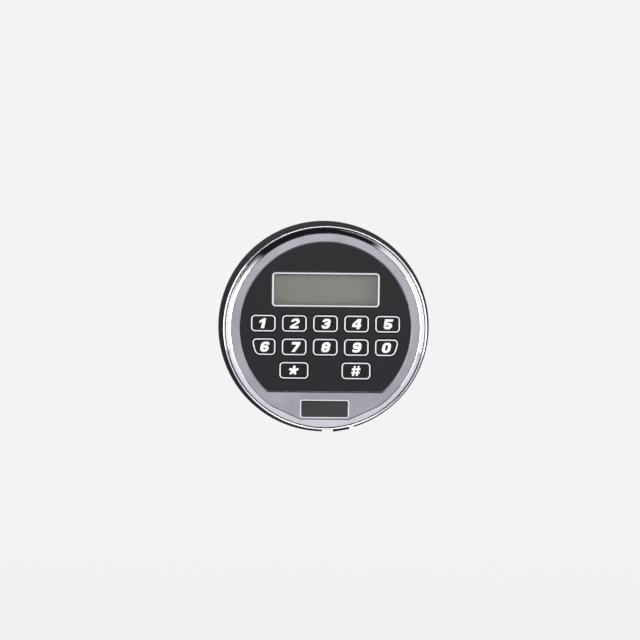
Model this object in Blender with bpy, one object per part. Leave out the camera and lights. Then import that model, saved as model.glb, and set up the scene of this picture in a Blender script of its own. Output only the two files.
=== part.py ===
"""Electronic cabinet lock of the knob kind.

Frame: +X to the right and +Z up as a user sees the lock, +Y into the door. The origin is on the lock's
axis, in the plane where the base flange meets the door. Depths are given as `out`, the distance in
front of the door, so that out = -y. Outlines are lists of (x, z) points.
"""

import math

import bmesh
import bpy
from mathutils import Matrix, Vector

MM = 0.001

# Clearances and mesh quality
SEAT_GAP = 0.3 * MM
OVERRUN = 1.0 * MM
MERGE_DISTANCE = 0.0005 * MM
RING_SEGMENTS = 48
INNER_SEGMENTS = 32
SHAFT_SEGMENTS = 24
BOSS_SEGMENTS = 12
COIL_SEGMENTS = 16
DOME_SEGMENTS = 8
CORNER_STEPS = 2
COIL_STEPS_PER_TURN = 8
COIL_SIDES = 5
SHARP_ANGLE = math.radians(32)

# Door that the lock is made for
DOOR_THICKNESS = 18.0 * MM

# Base flange
FLANGE_LIP = 2.0 * MM
FLANGE_THICKNESS = 4.4 * MM
FLANGE_EDGE_ROUND = 0.8 * MM
FLANGE_REAR_CHAMFER = 0.4 * MM
BARREL_WALL = 3.2 * MM
BARREL_TAIL = 1.8 * MM
PEG_RADIUS = 2.5 * MM
PEG_LENGTH = 4.0 * MM
PEG_CHAMFER = 0.5 * MM
PEG_SPREAD = 24.0 * MM

# Quarter-turn stop at the end of the barrel
STOP_RIM_HEIGHT = 2.0 * MM
STOP_RIM_WALL = 2.5 * MM
STOP_RELIEF = 0.2 * MM
STOP_WASHER_THICKNESS = 1.7 * MM
TURN_RANGE = math.radians(90)
STOP_TAB_ANGLE = math.radians(180)
STOP_TAB_HALF_WIDTH = math.radians(15)
STOP_PLAY = math.radians(1.5)

# Gasket in the rear of the flange
GASKET_RIM_MARGIN = 5.0 * MM
GASKET_WIDTH = 4.0 * MM
GASKET_THICKNESS = 1.2 * MM
GASKET_GAP_HALF_ANGLE = math.radians(11)

# Release latch, a slide in the rear of the flange that holds the head's spindle
LATCH_TILT = math.radians(10.1)
LATCH_PLATE_THICKNESS = 1.6 * MM
LATCH_EYE_WALL = 3.0 * MM
LATCH_EYE_END = 4.7 * MM
LATCH_ARM_WIDTH = 12.0 * MM
LATCH_TAB_WIDTH = 8.4 * MM
LATCH_TAB_PROUD = 1.3 * MM
LATCH_LIP_THICKNESS = 1.3 * MM
LATCH_LIP_INSET = 0.2 * MM
LATCH_LIP_SETBACK = 0.4 * MM
LATCH_TRAVEL = 3.0 * MM
LATCH_TAIL_LIP_WIDTH = 3.6 * MM
LATCH_TAIL_LIP_THICKNESS = 1.5 * MM
LATCH_NECK_LENGTH = 2.5 * MM
NOTCH_WIDTH = 15.3 * MM
NOTCH_OFFSET = -1.3 * MM
NOTCH_DEPTH = 3.5 * MM
LATCH_SPRING_RADIUS = 1.3 * MM
LATCH_SPRING_WIRE_RADIUS = 0.16 * MM
LATCH_SPRING_LENGTH = 7.2 * MM
LATCH_SPRING_TURNS = 5

# Head
HEAD_GAP = 0.6 * MM
HEAD_WALL = 2.4 * MM
RING_REAR_CHAMFER = 0.6 * MM
RING_SHOULDER_DROP = 2.7 * MM
BEAD_WIDTH = 0.85 * MM
BEAD_HEIGHT = 0.55 * MM
GROOVE_WIDTH = 0.3 * MM
GROOVE_DEPTH = 0.35 * MM
CHAMFER_WIDTH = 2.2 * MM
CHAMFER_CROWN_SHARES = ((0.0, 0.0), (0.16, 0.34), (0.36, 0.62), (0.6, 0.83), (1.0, 1.0))
LEDGE_THICKNESS = 1.8 * MM
LEDGE_WIDTH = 3.8 * MM

# Front plate
PLATE_INSET = 3.1 * MM
PLATE_SET_BELOW_RING = 0.5 * MM
PLATE_FACET_ANGLES = (math.radians(-135), math.radians(-105), math.radians(-75), math.radians(-45))
PANEL_WEB_THICKNESS = 1.0 * MM
PANEL_BEVEL_WIDTH = 1.2 * MM
SCREW_BOSS_RADIUS = 3.3 * MM
SCREW_BOSS_INSET = 7.3 * MM
SCREW_BOSS_ANGLES = (math.radians(25), math.radians(155), math.radians(215), math.radians(325))

# Face panel
PANEL_INSET = 4.1 * MM
PANEL_CHORD_INSET = 10.5 * MM
PANEL_THICKNESS = 1.4 * MM
PANEL_EDGE = 0.2 * MM
PANEL_RECESS = 0.5 * MM

# Display
DISPLAY_WIDTH = 51.1 * MM
DISPLAY_HEIGHT = 16.4 * MM
DISPLAY_CORNER = 1.7 * MM
DISPLAY_FRAME_LINE = 1.0 * MM
DISPLAY_FRAME_PROUD = 0.15 * MM
DISPLAY_CENTRE = 17.7 * MM
WINDOW_THICKNESS = 1.0 * MM
WINDOW_MARGIN = 1.4 * MM
MODULE_MARGIN = 2.6 * MM
MODULE_CORNER = 0.8 * MM
MODULE_THICKNESS = 2.6 * MM

# Keys
KEY_HEIGHT = 8.2 * MM
KEY_CORNER = 1.9 * MM
WIDE_KEY_EXTRA = 2.2 * MM
KEY_GAP = 2.6 * MM
KEY_ROW_MARGIN = 5.35 * MM
ROW_GAP = 2.85 * MM
TOP_ROW_HEIGHT = 1.5 * MM
KEY_FIELD_MARGIN = 5.5 * MM
KEY_PROUD = 0.4 * MM
KEY_FRAME_LINE = 1.0 * MM
KEY_FIELD_SINK = 0.15 * MM
KEY_LIP = 0.6 * MM
KEY_LIP_THICKNESS = 1.0 * MM
KEY_TRAVEL = 0.8 * MM
KEY_ROWS = (
    ("1", "2", "3", "4", "5"),
    ("6", "7", "8", "9", "0"),
    ("", "star", "", "hash", ""),
)
RIM_KEYS = ("6", "0")
WIDE_KEYS = ("star", "hash")

# Key mat and board
MAT_THICKNESS = 0.6 * MM
MAT_MARGIN = 1.6 * MM
MAT_CORNER = 2.0 * MM
DOME_RADIUS = 3.2 * MM
DOME_TOP_RADIUS = 2.2 * MM
BOARD_EDGE_GAP = 0.9 * MM
BOARD_THICKNESS = 1.6 * MM
BUZZER_RADIUS = 6.0 * MM
BUZZER_HEIGHT = 7.0 * MM
BUZZER_HOLE_RADIUS = 1.0 * MM
BUZZER_HOLE_DEPTH = 1.2 * MM
BUZZER_RIM_GAP = 3.8 * MM

# Micro-USB port
PORT_INSET = 6.4 * MM
PORT_COVER_WIDTH = 21.9 * MM
PORT_COVER_HEIGHT = 7.4 * MM
PORT_COVER_THICKNESS = 1.2 * MM
PORT_COVER_CORNER = 0.5 * MM
PORT_COVER_EDGE = 0.2 * MM
PORT_BEVEL = 0.35 * MM
PORT_HOLE_WIDTH = 9.8 * MM
PORT_HOLE_HEIGHT = 4.8 * MM
SOCKET_WIDTH = 8.0 * MM
SOCKET_HEIGHT = 3.0 * MM
SOCKET_WALL = 0.5 * MM
SOCKET_DEPTH = 3.0 * MM
SOCKET_TONGUE_HEIGHT = 0.6 * MM
SOCKET_TONGUE_MARGIN = 1.0 * MM

# Head back with its battery bays
BACK_THICKNESS = 2.4 * MM
BACK_RIM_WALL = 1.5 * MM
BACK_RIM_HEIGHT = 7.0 * MM
BAY_WALL = 1.2 * MM
BAY_SPINDLE_GAP = 1.2 * MM
BAY_CORNER = 0.8 * MM
BAY_RIM_GAP = 0.644 * MM
BAY_COVER_LEDGE = 0.75 * MM
BAY_COVER_THICKNESS = 1.2 * MM
CELL_RADIUS = 5.25 * MM
CELL_LENGTH = 44.5 * MM
CELL_NUB_RADIUS = 1.9 * MM
CELL_NUB_HEIGHT = 0.8 * MM
CELL_EDGE = 0.5 * MM
CELL_SPACING = 0.4 * MM
CONTACT_ROOM = 3.0 * MM
CONTACT_THICKNESS = 0.5 * MM
CONTACT_BULGE_WIDTH = 5.0 * MM
CONTACT_CREST_WIDTH = 2.0 * MM
CONTACT_HEIGHT = 7.0 * MM

# Solenoid that blocks the head
SOLENOID_RIM_GAP = 3.8 * MM
SOLENOID_WIDTH = 12.0 * MM
SOLENOID_PLATE = 1.0 * MM
COIL_RADIUS = 4.5 * MM
COIL_FLANGE_THICKNESS = 0.8 * MM
COIL_WINDING_SINK = 0.6 * MM
PLUNGER_RADIUS = 2.0 * MM
PLUNGER_LENGTH = 7.8 * MM
PLUNGER_CHAMFER = 0.4 * MM
PLUNGER_TRAVEL = 3.6 * MM
PLUNGER_TIP_INSET = 0.2 * MM
PLUNGER_END_GAP = 0.6 * MM
PLUNGER_SPRING_RADIUS = 1.4 * MM
PLUNGER_SPRING_WIRE_RADIUS = 0.17 * MM
PLUNGER_SPRING_TURNS = 4

# Screws in the head
HEAD_SCREW_RADIUS = 1.3 * MM
HEAD_SCREW_HEAD_RADIUS = 2.7 * MM
HEAD_SCREW_HEAD_HEIGHT = 1.4 * MM
HEAD_SCREW_LENGTH = 8.5 * MM
SPINDLE_SCREW_RADIUS = 1.1 * MM
SPINDLE_SCREW_HEAD_RADIUS = 2.1 * MM

# Spindle and what turns on its square end
SPINDLE_RADIUS = 6.0 * MM
SPINDLE_FLANGE_WIDTH = 34.0 * MM
SPINDLE_FLANGE_HEIGHT = 17.0 * MM
SPINDLE_FLANGE_CORNER = 4.0 * MM
SPINDLE_FLANGE_THICKNESS = 2.5 * MM
SPINDLE_SCREW_EDGE = 4.5 * MM
SPINDLE_GROOVE_DEPTH = 1.4 * MM
SPINDLE_SQUARE = 8.0 * MM
SPINDLE_STUD_RADIUS = 3.0 * MM
STUD_BEYOND_NUT = 1.5 * MM
BUSH_WALL = 1.2 * MM
TOOTHED_WASHER_BAND = 4.5 * MM
TOOTHED_WASHER_THICKNESS = 1.2 * MM
TOOTH_DEPTH = 1.3 * MM
TOOTH_COUNT = 18
MOUNTING_NUT_WALL = 2.5 * MM
MOUNTING_NUT_HEIGHT = 6.0 * MM
CAM_REACH = 45.0 * MM
CAM_EYE_RADIUS = 11.0 * MM
CAM_TIP_WIDTH = 16.0 * MM
CAM_TIP_CORNER = 4.0 * MM
CAM_THICKNESS = 3.0 * MM
SPRING_WASHER_RADIUS = 5.6 * MM
SPRING_WASHER_THICKNESS = 1.2 * MM
SPRING_WASHER_SPLIT = math.radians(8)
CAM_NUT_FLATS = 10.0 * MM
CAM_NUT_HEIGHT = 5.0 * MM

# Radii and places that follow from the sizes above
BARREL_BORE = SPINDLE_RADIUS + SEAT_GAP + BUSH_WALL + SEAT_GAP
BARREL_RADIUS = BARREL_BORE + BARREL_WALL
TOOTHED_WASHER_RADIUS = BARREL_RADIUS + TOOTHED_WASHER_BAND
MOUNTING_NUT_FLATS = (BARREL_RADIUS + MOUNTING_NUT_WALL) * 2
LATCH_EYE_WIDTH = (SPINDLE_RADIUS + SEAT_GAP + LATCH_EYE_WALL) * 2
LATCH_EYE_REACH = SPINDLE_RADIUS + SEAT_GAP + LATCH_TRAVEL + LATCH_EYE_END
BAY_START = SPINDLE_FLANGE_HEIGHT / 2 + BAY_SPINDLE_GAP + BAY_WALL
BAY_HEIGHT = 4 * CELL_RADIUS + CELL_SPACING + 2 * SEAT_GAP
BAY_REACH = math.hypot(CELL_LENGTH / 2 + CONTACT_ROOM + BAY_WALL, BAY_START + BAY_HEIGHT + BAY_WALL)
BACK_RADIUS = BAY_REACH + BAY_RIM_GAP + BACK_RIM_WALL
HEAD_RADIUS = BACK_RADIUS + SEAT_GAP + HEAD_WALL
FLANGE_RADIUS = HEAD_RADIUS + FLANGE_LIP
GASKET_OUTER_RADIUS = FLANGE_RADIUS - GASKET_RIM_MARGIN
GASKET_INNER_RADIUS = GASKET_OUTER_RADIUS - GASKET_WIDTH
LATCH_TAB_REACH = FLANGE_RADIUS + LATCH_TAB_PROUD
PLATE_RADIUS = HEAD_RADIUS - PLATE_INSET
PANEL_RADIUS = PLATE_RADIUS - PANEL_INSET
PANEL_CHORD = PANEL_RADIUS - PANEL_CHORD_INSET
PORT_CENTRE = PORT_INSET - PLATE_RADIUS
KEY_FIELD_RADIUS = PANEL_RADIUS - KEY_FIELD_MARGIN
KEYS_IN_ROW = len(KEY_ROWS[0])
KEY_WIDTH = ((PANEL_RADIUS - KEY_ROW_MARGIN) * 2 - KEY_GAP * (KEYS_IN_ROW - 1)) / KEYS_IN_ROW
WIDE_KEY_WIDTH = KEY_WIDTH + WIDE_KEY_EXTRA
KEY_PITCH = KEY_WIDTH + KEY_GAP
ROW_PITCH = KEY_HEIGHT + ROW_GAP
BOARD_RADIUS = BACK_RADIUS - BOARD_EDGE_GAP
SCREW_BOSS_CIRCLE = PLATE_RADIUS - SCREW_BOSS_INSET
BUZZER_SPREAD = BACK_RADIUS - BACK_RIM_WALL - BUZZER_RIM_GAP - BUZZER_RADIUS
SOLENOID_SPREAD = BACK_RADIUS - BACK_RIM_WALL - SOLENOID_RIM_GAP - SOLENOID_WIDTH / 2
SPINDLE_SCREW_SPREAD = SPINDLE_FLANGE_WIDTH / 2 - SPINDLE_SCREW_EDGE

# Depths of the head, from the door outwards
HEAD_REAR = FLANGE_THICKNESS + HEAD_GAP
BACK_INNER = HEAD_REAR + BACK_THICKNESS
PLUNGER_TIP = HEAD_REAR + PLUNGER_TIP_INSET
PLUNGER_HOLE_FLOOR = PLUNGER_TIP - PLUNGER_TRAVEL - PLUNGER_END_GAP
CELL_CENTRE_OUT = HEAD_REAR + BAY_COVER_THICKNESS + SEAT_GAP + CELL_RADIUS
BOARD_REAR = CELL_CENTRE_OUT + CELL_RADIUS + SEAT_GAP
BOARD_FRONT = BOARD_REAR + BOARD_THICKNESS
MAT_REAR = BOARD_FRONT + SEAT_GAP
WINDOW_REAR = MAT_REAR + MODULE_THICKNESS + SEAT_GAP
PLATE_REAR = WINDOW_REAR
PANEL_REAR = PLATE_REAR + PANEL_WEB_THICKNESS + SEAT_GAP
PANEL_FRONT = PANEL_REAR + PANEL_THICKNESS
PLATE_FRONT = PANEL_FRONT + PANEL_RECESS
RING_FRONT = PLATE_FRONT + PLATE_SET_BELOW_RING
KEY_LIP_REAR = PANEL_REAR - SEAT_GAP - KEY_LIP_THICKNESS
DOME_FRONT = KEY_LIP_REAR - KEY_TRAVEL - SEAT_GAP

# Depths behind the door face
WASHER_REAR = -(DOOR_THICKNESS + SEAT_GAP + TOOTHED_WASHER_THICKNESS)
NUT_FRONT = WASHER_REAR - SEAT_GAP
NUT_REAR = NUT_FRONT - MOUNTING_NUT_HEIGHT
BARREL_END = NUT_REAR - BARREL_TAIL
STOP_FRONT = BARREL_END - SEAT_GAP
STOP_REAR = STOP_FRONT - STOP_WASHER_THICKNESS
CAM_FRONT = STOP_REAR - SEAT_GAP
CAM_REAR = CAM_FRONT - CAM_THICKNESS
SPRING_WASHER_FRONT = CAM_REAR - SEAT_GAP
SPRING_WASHER_REAR = SPRING_WASHER_FRONT - SPRING_WASHER_THICKNESS
CAM_NUT_FRONT = SPRING_WASHER_REAR - SEAT_GAP
CAM_NUT_REAR = CAM_NUT_FRONT - CAM_NUT_HEIGHT
SPINDLE_END = CAM_NUT_REAR - STUD_BEYOND_NUT

# Latch channel in the rear of the flange
CHANNEL_DEPTH = LATCH_PLATE_THICKNESS + SEAT_GAP + SEAT_GAP
NECK_END = FLANGE_RADIUS - NOTCH_DEPTH
NECK_START = NECK_END - LATCH_NECK_LENGTH
SPRING_ROOM_END = LATCH_EYE_REACH + LATCH_SPRING_LENGTH + SEAT_GAP + SEAT_GAP
TAIL_LIP_FRONT = SEAT_GAP + LATCH_SPRING_RADIUS * 2 + LATCH_SPRING_WIRE_RADIUS * 2
POCKET_DEPTH = TAIL_LIP_FRONT + SEAT_GAP
GROOVE_RADIUS = SPINDLE_RADIUS - SPINDLE_GROOVE_DEPTH


def clear_scene():
    """Remove every object, so that only the lock is left."""
    for item in list(bpy.data.objects):
        bpy.data.objects.remove(item, do_unlink=True)


def make_material(name, colour, roughness, metallic):
    """Principled finish from a linear RGB colour, a roughness and a metallic value."""
    finish = bpy.data.materials.new(name)
    finish.use_nodes = True
    finish.diffuse_color = (*colour, 1.0)
    shader = finish.node_tree.nodes["Principled BSDF"]
    shader.inputs["Base Color"].default_value = (*colour, 1.0)
    shader.inputs["Roughness"].default_value = roughness
    shader.inputs["Metallic"].default_value = metallic
    return finish


def place(x, z, out):
    """Point of the lock's frame at a distance in front of the door."""
    return Vector((x, -out, z))


# Outlines

def circle(radius, segments, centre=(0.0, 0.0)):
    """Round outline."""
    return arc(radius, 0.0, math.tau, segments, centre)[:-1]


def arc(radius, start, end, steps, centre=(0.0, 0.0)):
    """Points along an arc, both ends included."""
    angles = [start + (end - start) * step / steps for step in range(steps + 1)]
    return [(centre[0] + radius * math.cos(a), centre[1] + radius * math.sin(a)) for a in angles]


def regular_polygon(flats, sides, segments):
    """Outline of a nut or a square, measured across its flats, with a set number of points."""
    outline = []
    for step in range(segments):
        angle = math.tau * step / segments
        sector = math.tau / sides
        from_flat = (angle + sector / 2) % sector - sector / 2
        radius = flats / 2 / math.cos(from_flat)
        outline.append((radius * math.cos(angle), radius * math.sin(angle)))
    return outline


def rounded(corners, radii, steps=CORNER_STEPS):
    """Outline of a polygon whose corners are rounded; a corner of radius zero stays one point."""
    points = [Vector(corner) for corner in corners]
    outline = []
    for index, corner in enumerate(points):
        if radii[index] == 0.0:
            outline.append(tuple(corner))
            continue
        back = (points[index - 1] - corner).normalized()
        ahead = (points[(index + 1) % len(points)] - corner).normalized()
        half = back.angle(ahead) / 2
        centre = corner + (back + ahead).normalized() * radii[index] / math.sin(half)
        first = corner + back * radii[index] / math.tan(half) - centre
        last = corner + ahead * radii[index] / math.tan(half) - centre
        sweep = math.atan2(first.x * last.y - first.y * last.x, first.dot(last))
        for step in range(steps + 1):
            turned_by = Matrix.Rotation(sweep * step / steps, 2)
            outline.append(tuple(centre + turned_by @ first))
    return outline


def rounded_rectangle(width, height, radius, centre=(0.0, 0.0)):
    """Rectangle with rounded corners."""
    right = centre[0] + width / 2
    left = centre[0] - width / 2
    top = centre[1] + height / 2
    bottom = centre[1] - height / 2
    corners = [(right, bottom), (right, top), (left, top), (left, bottom)]
    return rounded(corners, [radius] * len(corners))


def d_outline(grow=0.0):
    """The face panel's outline, a circle with a flat bottom, grown by a clearance."""
    radius = PANEL_RADIUS + grow
    chord_angle = math.asin((PANEL_CHORD + grow) / radius)
    return arc(radius, -chord_angle, math.pi + chord_angle, RING_SEGMENTS * 3 // 4)


def plate_outline(grow=0.0):
    """The front plate's outline: round, with three straight edges at the bottom."""
    first, second, third, last = PLATE_FACET_ANGLES
    radius = PLATE_RADIUS + grow
    outline = arc(radius, last, math.tau + first, RING_SEGMENTS * 3 // 4)
    outline += [(radius * math.cos(a), radius * math.sin(a)) for a in (second, third)]
    return outline


def window_outline(grow=0.0):
    """The display window's outline, grown by a clearance."""
    width = DISPLAY_WIDTH + 2 * (WINDOW_MARGIN + grow)
    height = DISPLAY_HEIGHT + 2 * (WINDOW_MARGIN + grow)
    return rounded_rectangle(width, height, DISPLAY_CORNER + grow, (0.0, DISPLAY_CENTRE))


def key_centre(row, column):
    """Centre of a key on the face."""
    middle = (KEYS_IN_ROW - 1) / 2
    return ((column - middle) * KEY_PITCH, TOP_ROW_HEIGHT - row * ROW_PITCH)


def key_outline(name, centre, grow=0.0):
    """Outline of a key, grown by a clearance; the end keys of row two follow the round face."""
    width = (WIDE_KEY_WIDTH if name in WIDE_KEYS else KEY_WIDTH) + 2 * grow
    height = KEY_HEIGHT + 2 * grow
    corner = KEY_CORNER + grow
    if name not in RIM_KEYS:
        return rounded_rectangle(width, height, corner, centre)
    side = math.copysign(1.0, centre[0])
    rim = KEY_FIELD_RADIUS + grow
    inner = centre[0] - side * width / 2
    top = centre[1] + height / 2
    bottom = centre[1] - height / 2
    outer = [(side * math.sqrt(rim ** 2 - level ** 2), level) for level in (bottom, centre[1], top)]
    corners = [(inner, bottom), *outer, (inner, top)]
    return rounded(corners, [corner, corner, 0.0, corner, corner])


def latch_frame(points):
    """Turn (along, across) points of the tilted latch into (x, z) points."""
    along = Vector((math.sin(LATCH_TILT), -math.cos(LATCH_TILT)))
    across = Vector((math.cos(LATCH_TILT), math.sin(LATCH_TILT)))
    return [tuple(along * u + across * v) for u, v in points]


def latch_rectangle(start, end, half_width, offset=0.0):
    """Rectangle in the latch's own frame."""
    right = offset + half_width
    left = offset - half_width
    return latch_frame([(start, left), (end, left), (end, right), (start, right)])


# Solids

def new_object(name, mesh_data):
    """Object from a bmesh, with its normals turned outwards."""
    bmesh.ops.remove_doubles(mesh_data, verts=mesh_data.verts, dist=MERGE_DISTANCE)
    bmesh.ops.recalc_face_normals(mesh_data, faces=mesh_data.faces)
    mesh = bpy.data.meshes.new(name)
    mesh_data.to_mesh(mesh)
    mesh_data.free()
    item = bpy.data.objects.new(name, mesh)
    bpy.context.collection.objects.link(item)
    return item


def add_walls(mesh_data, stack):
    """Walls between the outlines of a stack; returns its first and its last ring."""
    rings = []
    for outline, out in stack:
        rings.append([mesh_data.verts.new(place(x, z, out)) for x, z in outline])
    for lower, upper in zip(rings, rings[1:]):
        count = len(lower)
        for index in range(count):
            after = (index + 1) % count
            mesh_data.faces.new((lower[index], lower[after], upper[after], upper[index]))
    return rings[0], rings[-1]


def ring_edges(mesh_data, ring):
    """Edges that close a ring of vertices."""
    edges = []
    for index, vertex in enumerate(ring):
        after = ring[(index + 1) % len(ring)]
        edges.append(mesh_data.edges.get((vertex, after)) or mesh_data.edges.new((vertex, after)))
    return edges


def fill_between(mesh_data, edges):
    """Flat faces inside a set of closed outlines, leaving the inner outlines open."""
    bmesh.ops.triangle_fill(mesh_data, edges=edges, use_beauty=True, normal=Vector((0, 1, 0)))


def layered(name, outer, holes=(), low_features=(), high_features=(), recesses=()):
    """Solid between two flat ends.

    Each stack is a list of (outline, out) pairs with equal numbers of points. The outer stack and the
    holes run from the low end to the high end. A feature starts on one end, as a boss or a blind hole,
    and is closed at its own last outline. A recess is a stack that starts on the high end, with the
    stacks of the holes that run from the low end to the recess's floor.
    """
    mesh_data = bmesh.new()
    low_edges = []
    high_edges = []
    for stack in (outer, *holes):
        first, last = add_walls(mesh_data, stack)
        low_edges += ring_edges(mesh_data, first)
        high_edges += ring_edges(mesh_data, last)
    for features, edges in ((low_features, low_edges), (high_features, high_edges)):
        for stack in features:
            first, last = add_walls(mesh_data, stack)
            edges += ring_edges(mesh_data, first)
            mesh_data.faces.new(last)
    for recess, floor_holes in recesses:
        first, last = add_walls(mesh_data, recess)
        high_edges += ring_edges(mesh_data, first)
        floor_edges = ring_edges(mesh_data, last)
        for stack in floor_holes:
            first, last = add_walls(mesh_data, stack)
            low_edges += ring_edges(mesh_data, first)
            floor_edges += ring_edges(mesh_data, last)
        fill_between(mesh_data, floor_edges)
    for edges in (low_edges, high_edges):
        fill_between(mesh_data, edges)
    return new_object(name, mesh_data)


def prism(name, outline, low, high, holes=()):
    """Plain extrusion of an outline between two depths, with straight holes."""
    return layered(name, [(outline, low), (outline, high)], [[(hole, low), (hole, high)] for hole in holes])


def turned(name, profile, segments=RING_SEGMENTS, centre=(0.0, 0.0)):
    """Solid of revolution about a line along Y, from a closed list of (radius, out) points."""
    mesh_data = bmesh.new()
    vertices = [mesh_data.verts.new(place(radius, 0.0, out)) for radius, out in profile]
    edges = ring_edges(mesh_data, vertices)
    on_axis = [edge for edge in edges if all(vertex.co.x == 0.0 for vertex in edge.verts)]
    for edge in on_axis:
        mesh_data.edges.remove(edge)
    bmesh.ops.spin(mesh_data, geom=mesh_data.verts[:] + mesh_data.edges[:], cent=(0, 0, 0),
                   axis=(0, 1, 0), angle=math.tau, steps=segments, use_merge=True)
    bmesh.ops.translate(mesh_data, verts=mesh_data.verts, vec=place(*centre, 0.0))
    return new_object(name, mesh_data)


def coil(name, radius, wire_radius, length, turns):
    """Open helical spring along +Y from the origin, with flat wire ends."""
    mesh_data = bmesh.new()
    rings = []
    count = turns * COIL_STEPS_PER_TURN
    span = length - 2 * wire_radius
    for step in range(count + 1):
        angle = math.tau * step / COIL_STEPS_PER_TURN
        radial = Vector((math.cos(angle), 0.0, math.sin(angle)))
        middle = radial * radius + Vector((0.0, wire_radius + span * step / count, 0.0))
        ring = []
        for side in range(COIL_SIDES):
            around = math.tau * side / COIL_SIDES
            offset = radial * math.cos(around) + Vector((0.0, math.sin(around), 0.0))
            ring.append(mesh_data.verts.new(middle + offset * wire_radius))
        rings.append(ring)
    for before, after in zip(rings, rings[1:]):
        for side in range(COIL_SIDES):
            beside = (side + 1) % COIL_SIDES
            mesh_data.faces.new((before[side], before[beside], after[beside], after[side]))
    mesh_data.faces.new(rings[0])
    mesh_data.faces.new(rings[-1])
    return new_object(name, mesh_data)


def combine(body, tool, operation):
    """Apply an exact Boolean of a tool to a body and remove the tool."""
    modifier = body.modifiers.new("combine", "BOOLEAN")
    modifier.solver = "EXACT"
    modifier.operation = operation
    modifier.object = tool
    graph = bpy.context.evaluated_depsgraph_get()
    mesh = bpy.data.meshes.new_from_object(body.evaluated_get(graph))
    body.modifiers.clear()
    mesh_data = bmesh.new()
    mesh_data.from_mesh(mesh)
    bmesh.ops.remove_doubles(mesh_data, verts=mesh_data.verts, dist=MERGE_DISTANCE)
    bmesh.ops.triangulate(mesh_data, faces=mesh_data.faces)
    mesh_data.to_mesh(mesh)
    mesh_data.free()
    body.data = mesh
    bpy.data.objects.remove(tool, do_unlink=True)


def cut(body, tool):
    """Take a tool's shape out of a body."""
    combine(body, tool, "DIFFERENCE")


def fuse(body, tool):
    """Join a tool's shape to a body."""
    combine(body, tool, "UNION")


def finish(item, finish_material, parent=None, origin=None):
    """Give a piece its material, its smooth round faces, its origin and its parent."""
    item.data.materials.clear()
    item.data.materials.append(finish_material)
    item.data.shade_smooth()
    item.data.set_sharp_from_angle(angle=SHARP_ANGLE)
    if origin is not None:
        item.data.transform(Matrix.Translation(-origin))
        item.location = origin
    if parent is not None:
        item.parent = parent
        item.matrix_parent_inverse = parent.matrix_world.inverted()
    return item


# Base

def build_base_flange(finish_material):
    """Flange with its barrel, the latch channel, the notch and the plunger's two holes."""
    rim = FLANGE_RADIUS
    soft = FLANGE_EDGE_ROUND
    half_soft = soft * math.sin(math.radians(45))
    groove_inner = GASKET_INNER_RADIUS - SEAT_GAP
    groove_outer = GASKET_OUTER_RADIUS + SEAT_GAP
    groove_floor = GASKET_THICKNESS + SEAT_GAP
    rim_end = BARREL_END - STOP_RIM_HEIGHT
    rim_inner = BARREL_RADIUS - STOP_RIM_WALL
    flange = turned("base_flange", [
        (BARREL_BORE, FLANGE_THICKNESS),
        (rim - soft, FLANGE_THICKNESS),
        (rim - soft + half_soft, FLANGE_THICKNESS - soft + half_soft),
        (rim, FLANGE_THICKNESS - soft),
        (rim, FLANGE_REAR_CHAMFER),
        (rim - FLANGE_REAR_CHAMFER, 0.0),
        (groove_outer, 0.0),
        (groove_outer, groove_floor),
        (groove_inner, groove_floor),
        (groove_inner, 0.0),
        (BARREL_RADIUS, 0.0),
        (BARREL_RADIUS, rim_end),
        (rim_inner, rim_end),
        (rim_inner, BARREL_END),
        (BARREL_BORE, BARREL_END),
    ])
    eye_room = latch_rectangle(-LATCH_EYE_REACH - LATCH_TRAVEL - SEAT_GAP, LATCH_EYE_REACH + SEAT_GAP,
                               LATCH_EYE_WIDTH / 2 + SEAT_GAP)
    cut(flange, prism("eye_room", eye_room, -SEAT_GAP, CHANNEL_DEPTH))
    channel = latch_rectangle(LATCH_EYE_REACH, NECK_START, LATCH_ARM_WIDTH / 2 + SEAT_GAP)
    cut(flange, prism("channel", channel, -OVERRUN, CHANNEL_DEPTH))
    neck = latch_rectangle(NECK_START - OVERRUN, NECK_END + OVERRUN, LATCH_TAB_WIDTH / 2 + SEAT_GAP)
    cut(flange, prism("neck", neck, -OVERRUN, CHANNEL_DEPTH))
    notch = latch_rectangle(NECK_END, rim + OVERRUN, NOTCH_WIDTH / 2, NOTCH_OFFSET)
    cut(flange, prism("notch", notch, -OVERRUN, FLANGE_THICKNESS + OVERRUN))
    pocket_start = LATCH_EYE_REACH - LATCH_TAIL_LIP_THICKNESS - SEAT_GAP
    pocket = latch_rectangle(-SPRING_ROOM_END, -pocket_start, LATCH_TAIL_LIP_WIDTH / 2 + SEAT_GAP)
    cut(flange, prism("pocket", pocket, -OVERRUN, POCKET_DEPTH))
    for angle in (math.pi, math.pi - TURN_RANGE):
        centre = (SOLENOID_SPREAD * math.cos(angle), SOLENOID_SPREAD * math.sin(angle))
        hole = circle(PLUNGER_RADIUS + SEAT_GAP, BOSS_SEGMENTS, centre)
        cut(flange, prism("plunger_hole", hole, PLUNGER_HOLE_FLOOR, FLANGE_THICKNESS + OVERRUN))
    margin = STOP_TAB_HALF_WIDTH + STOP_PLAY
    window = arc(BARREL_RADIUS + OVERRUN, STOP_TAB_ANGLE - TURN_RANGE - margin, STOP_TAB_ANGLE + margin,
                 BOSS_SEGMENTS) + [(0.0, 0.0)]
    cut(flange, prism("stop_window", window, rim_end - OVERRUN, BARREL_END + STOP_RELIEF))
    for side in (-1, 1):
        centre = (side * PEG_SPREAD, 0.0)
        shank = circle(PEG_RADIUS, BOSS_SEGMENTS, centre)
        tip = circle(PEG_RADIUS - PEG_CHAMFER, BOSS_SEGMENTS, centre)
        fuse(flange, layered("peg", [(tip, -PEG_LENGTH), (shank, -PEG_LENGTH + PEG_CHAMFER),
                                     (shank, OVERRUN)]))
    return finish(flange, finish_material)


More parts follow.
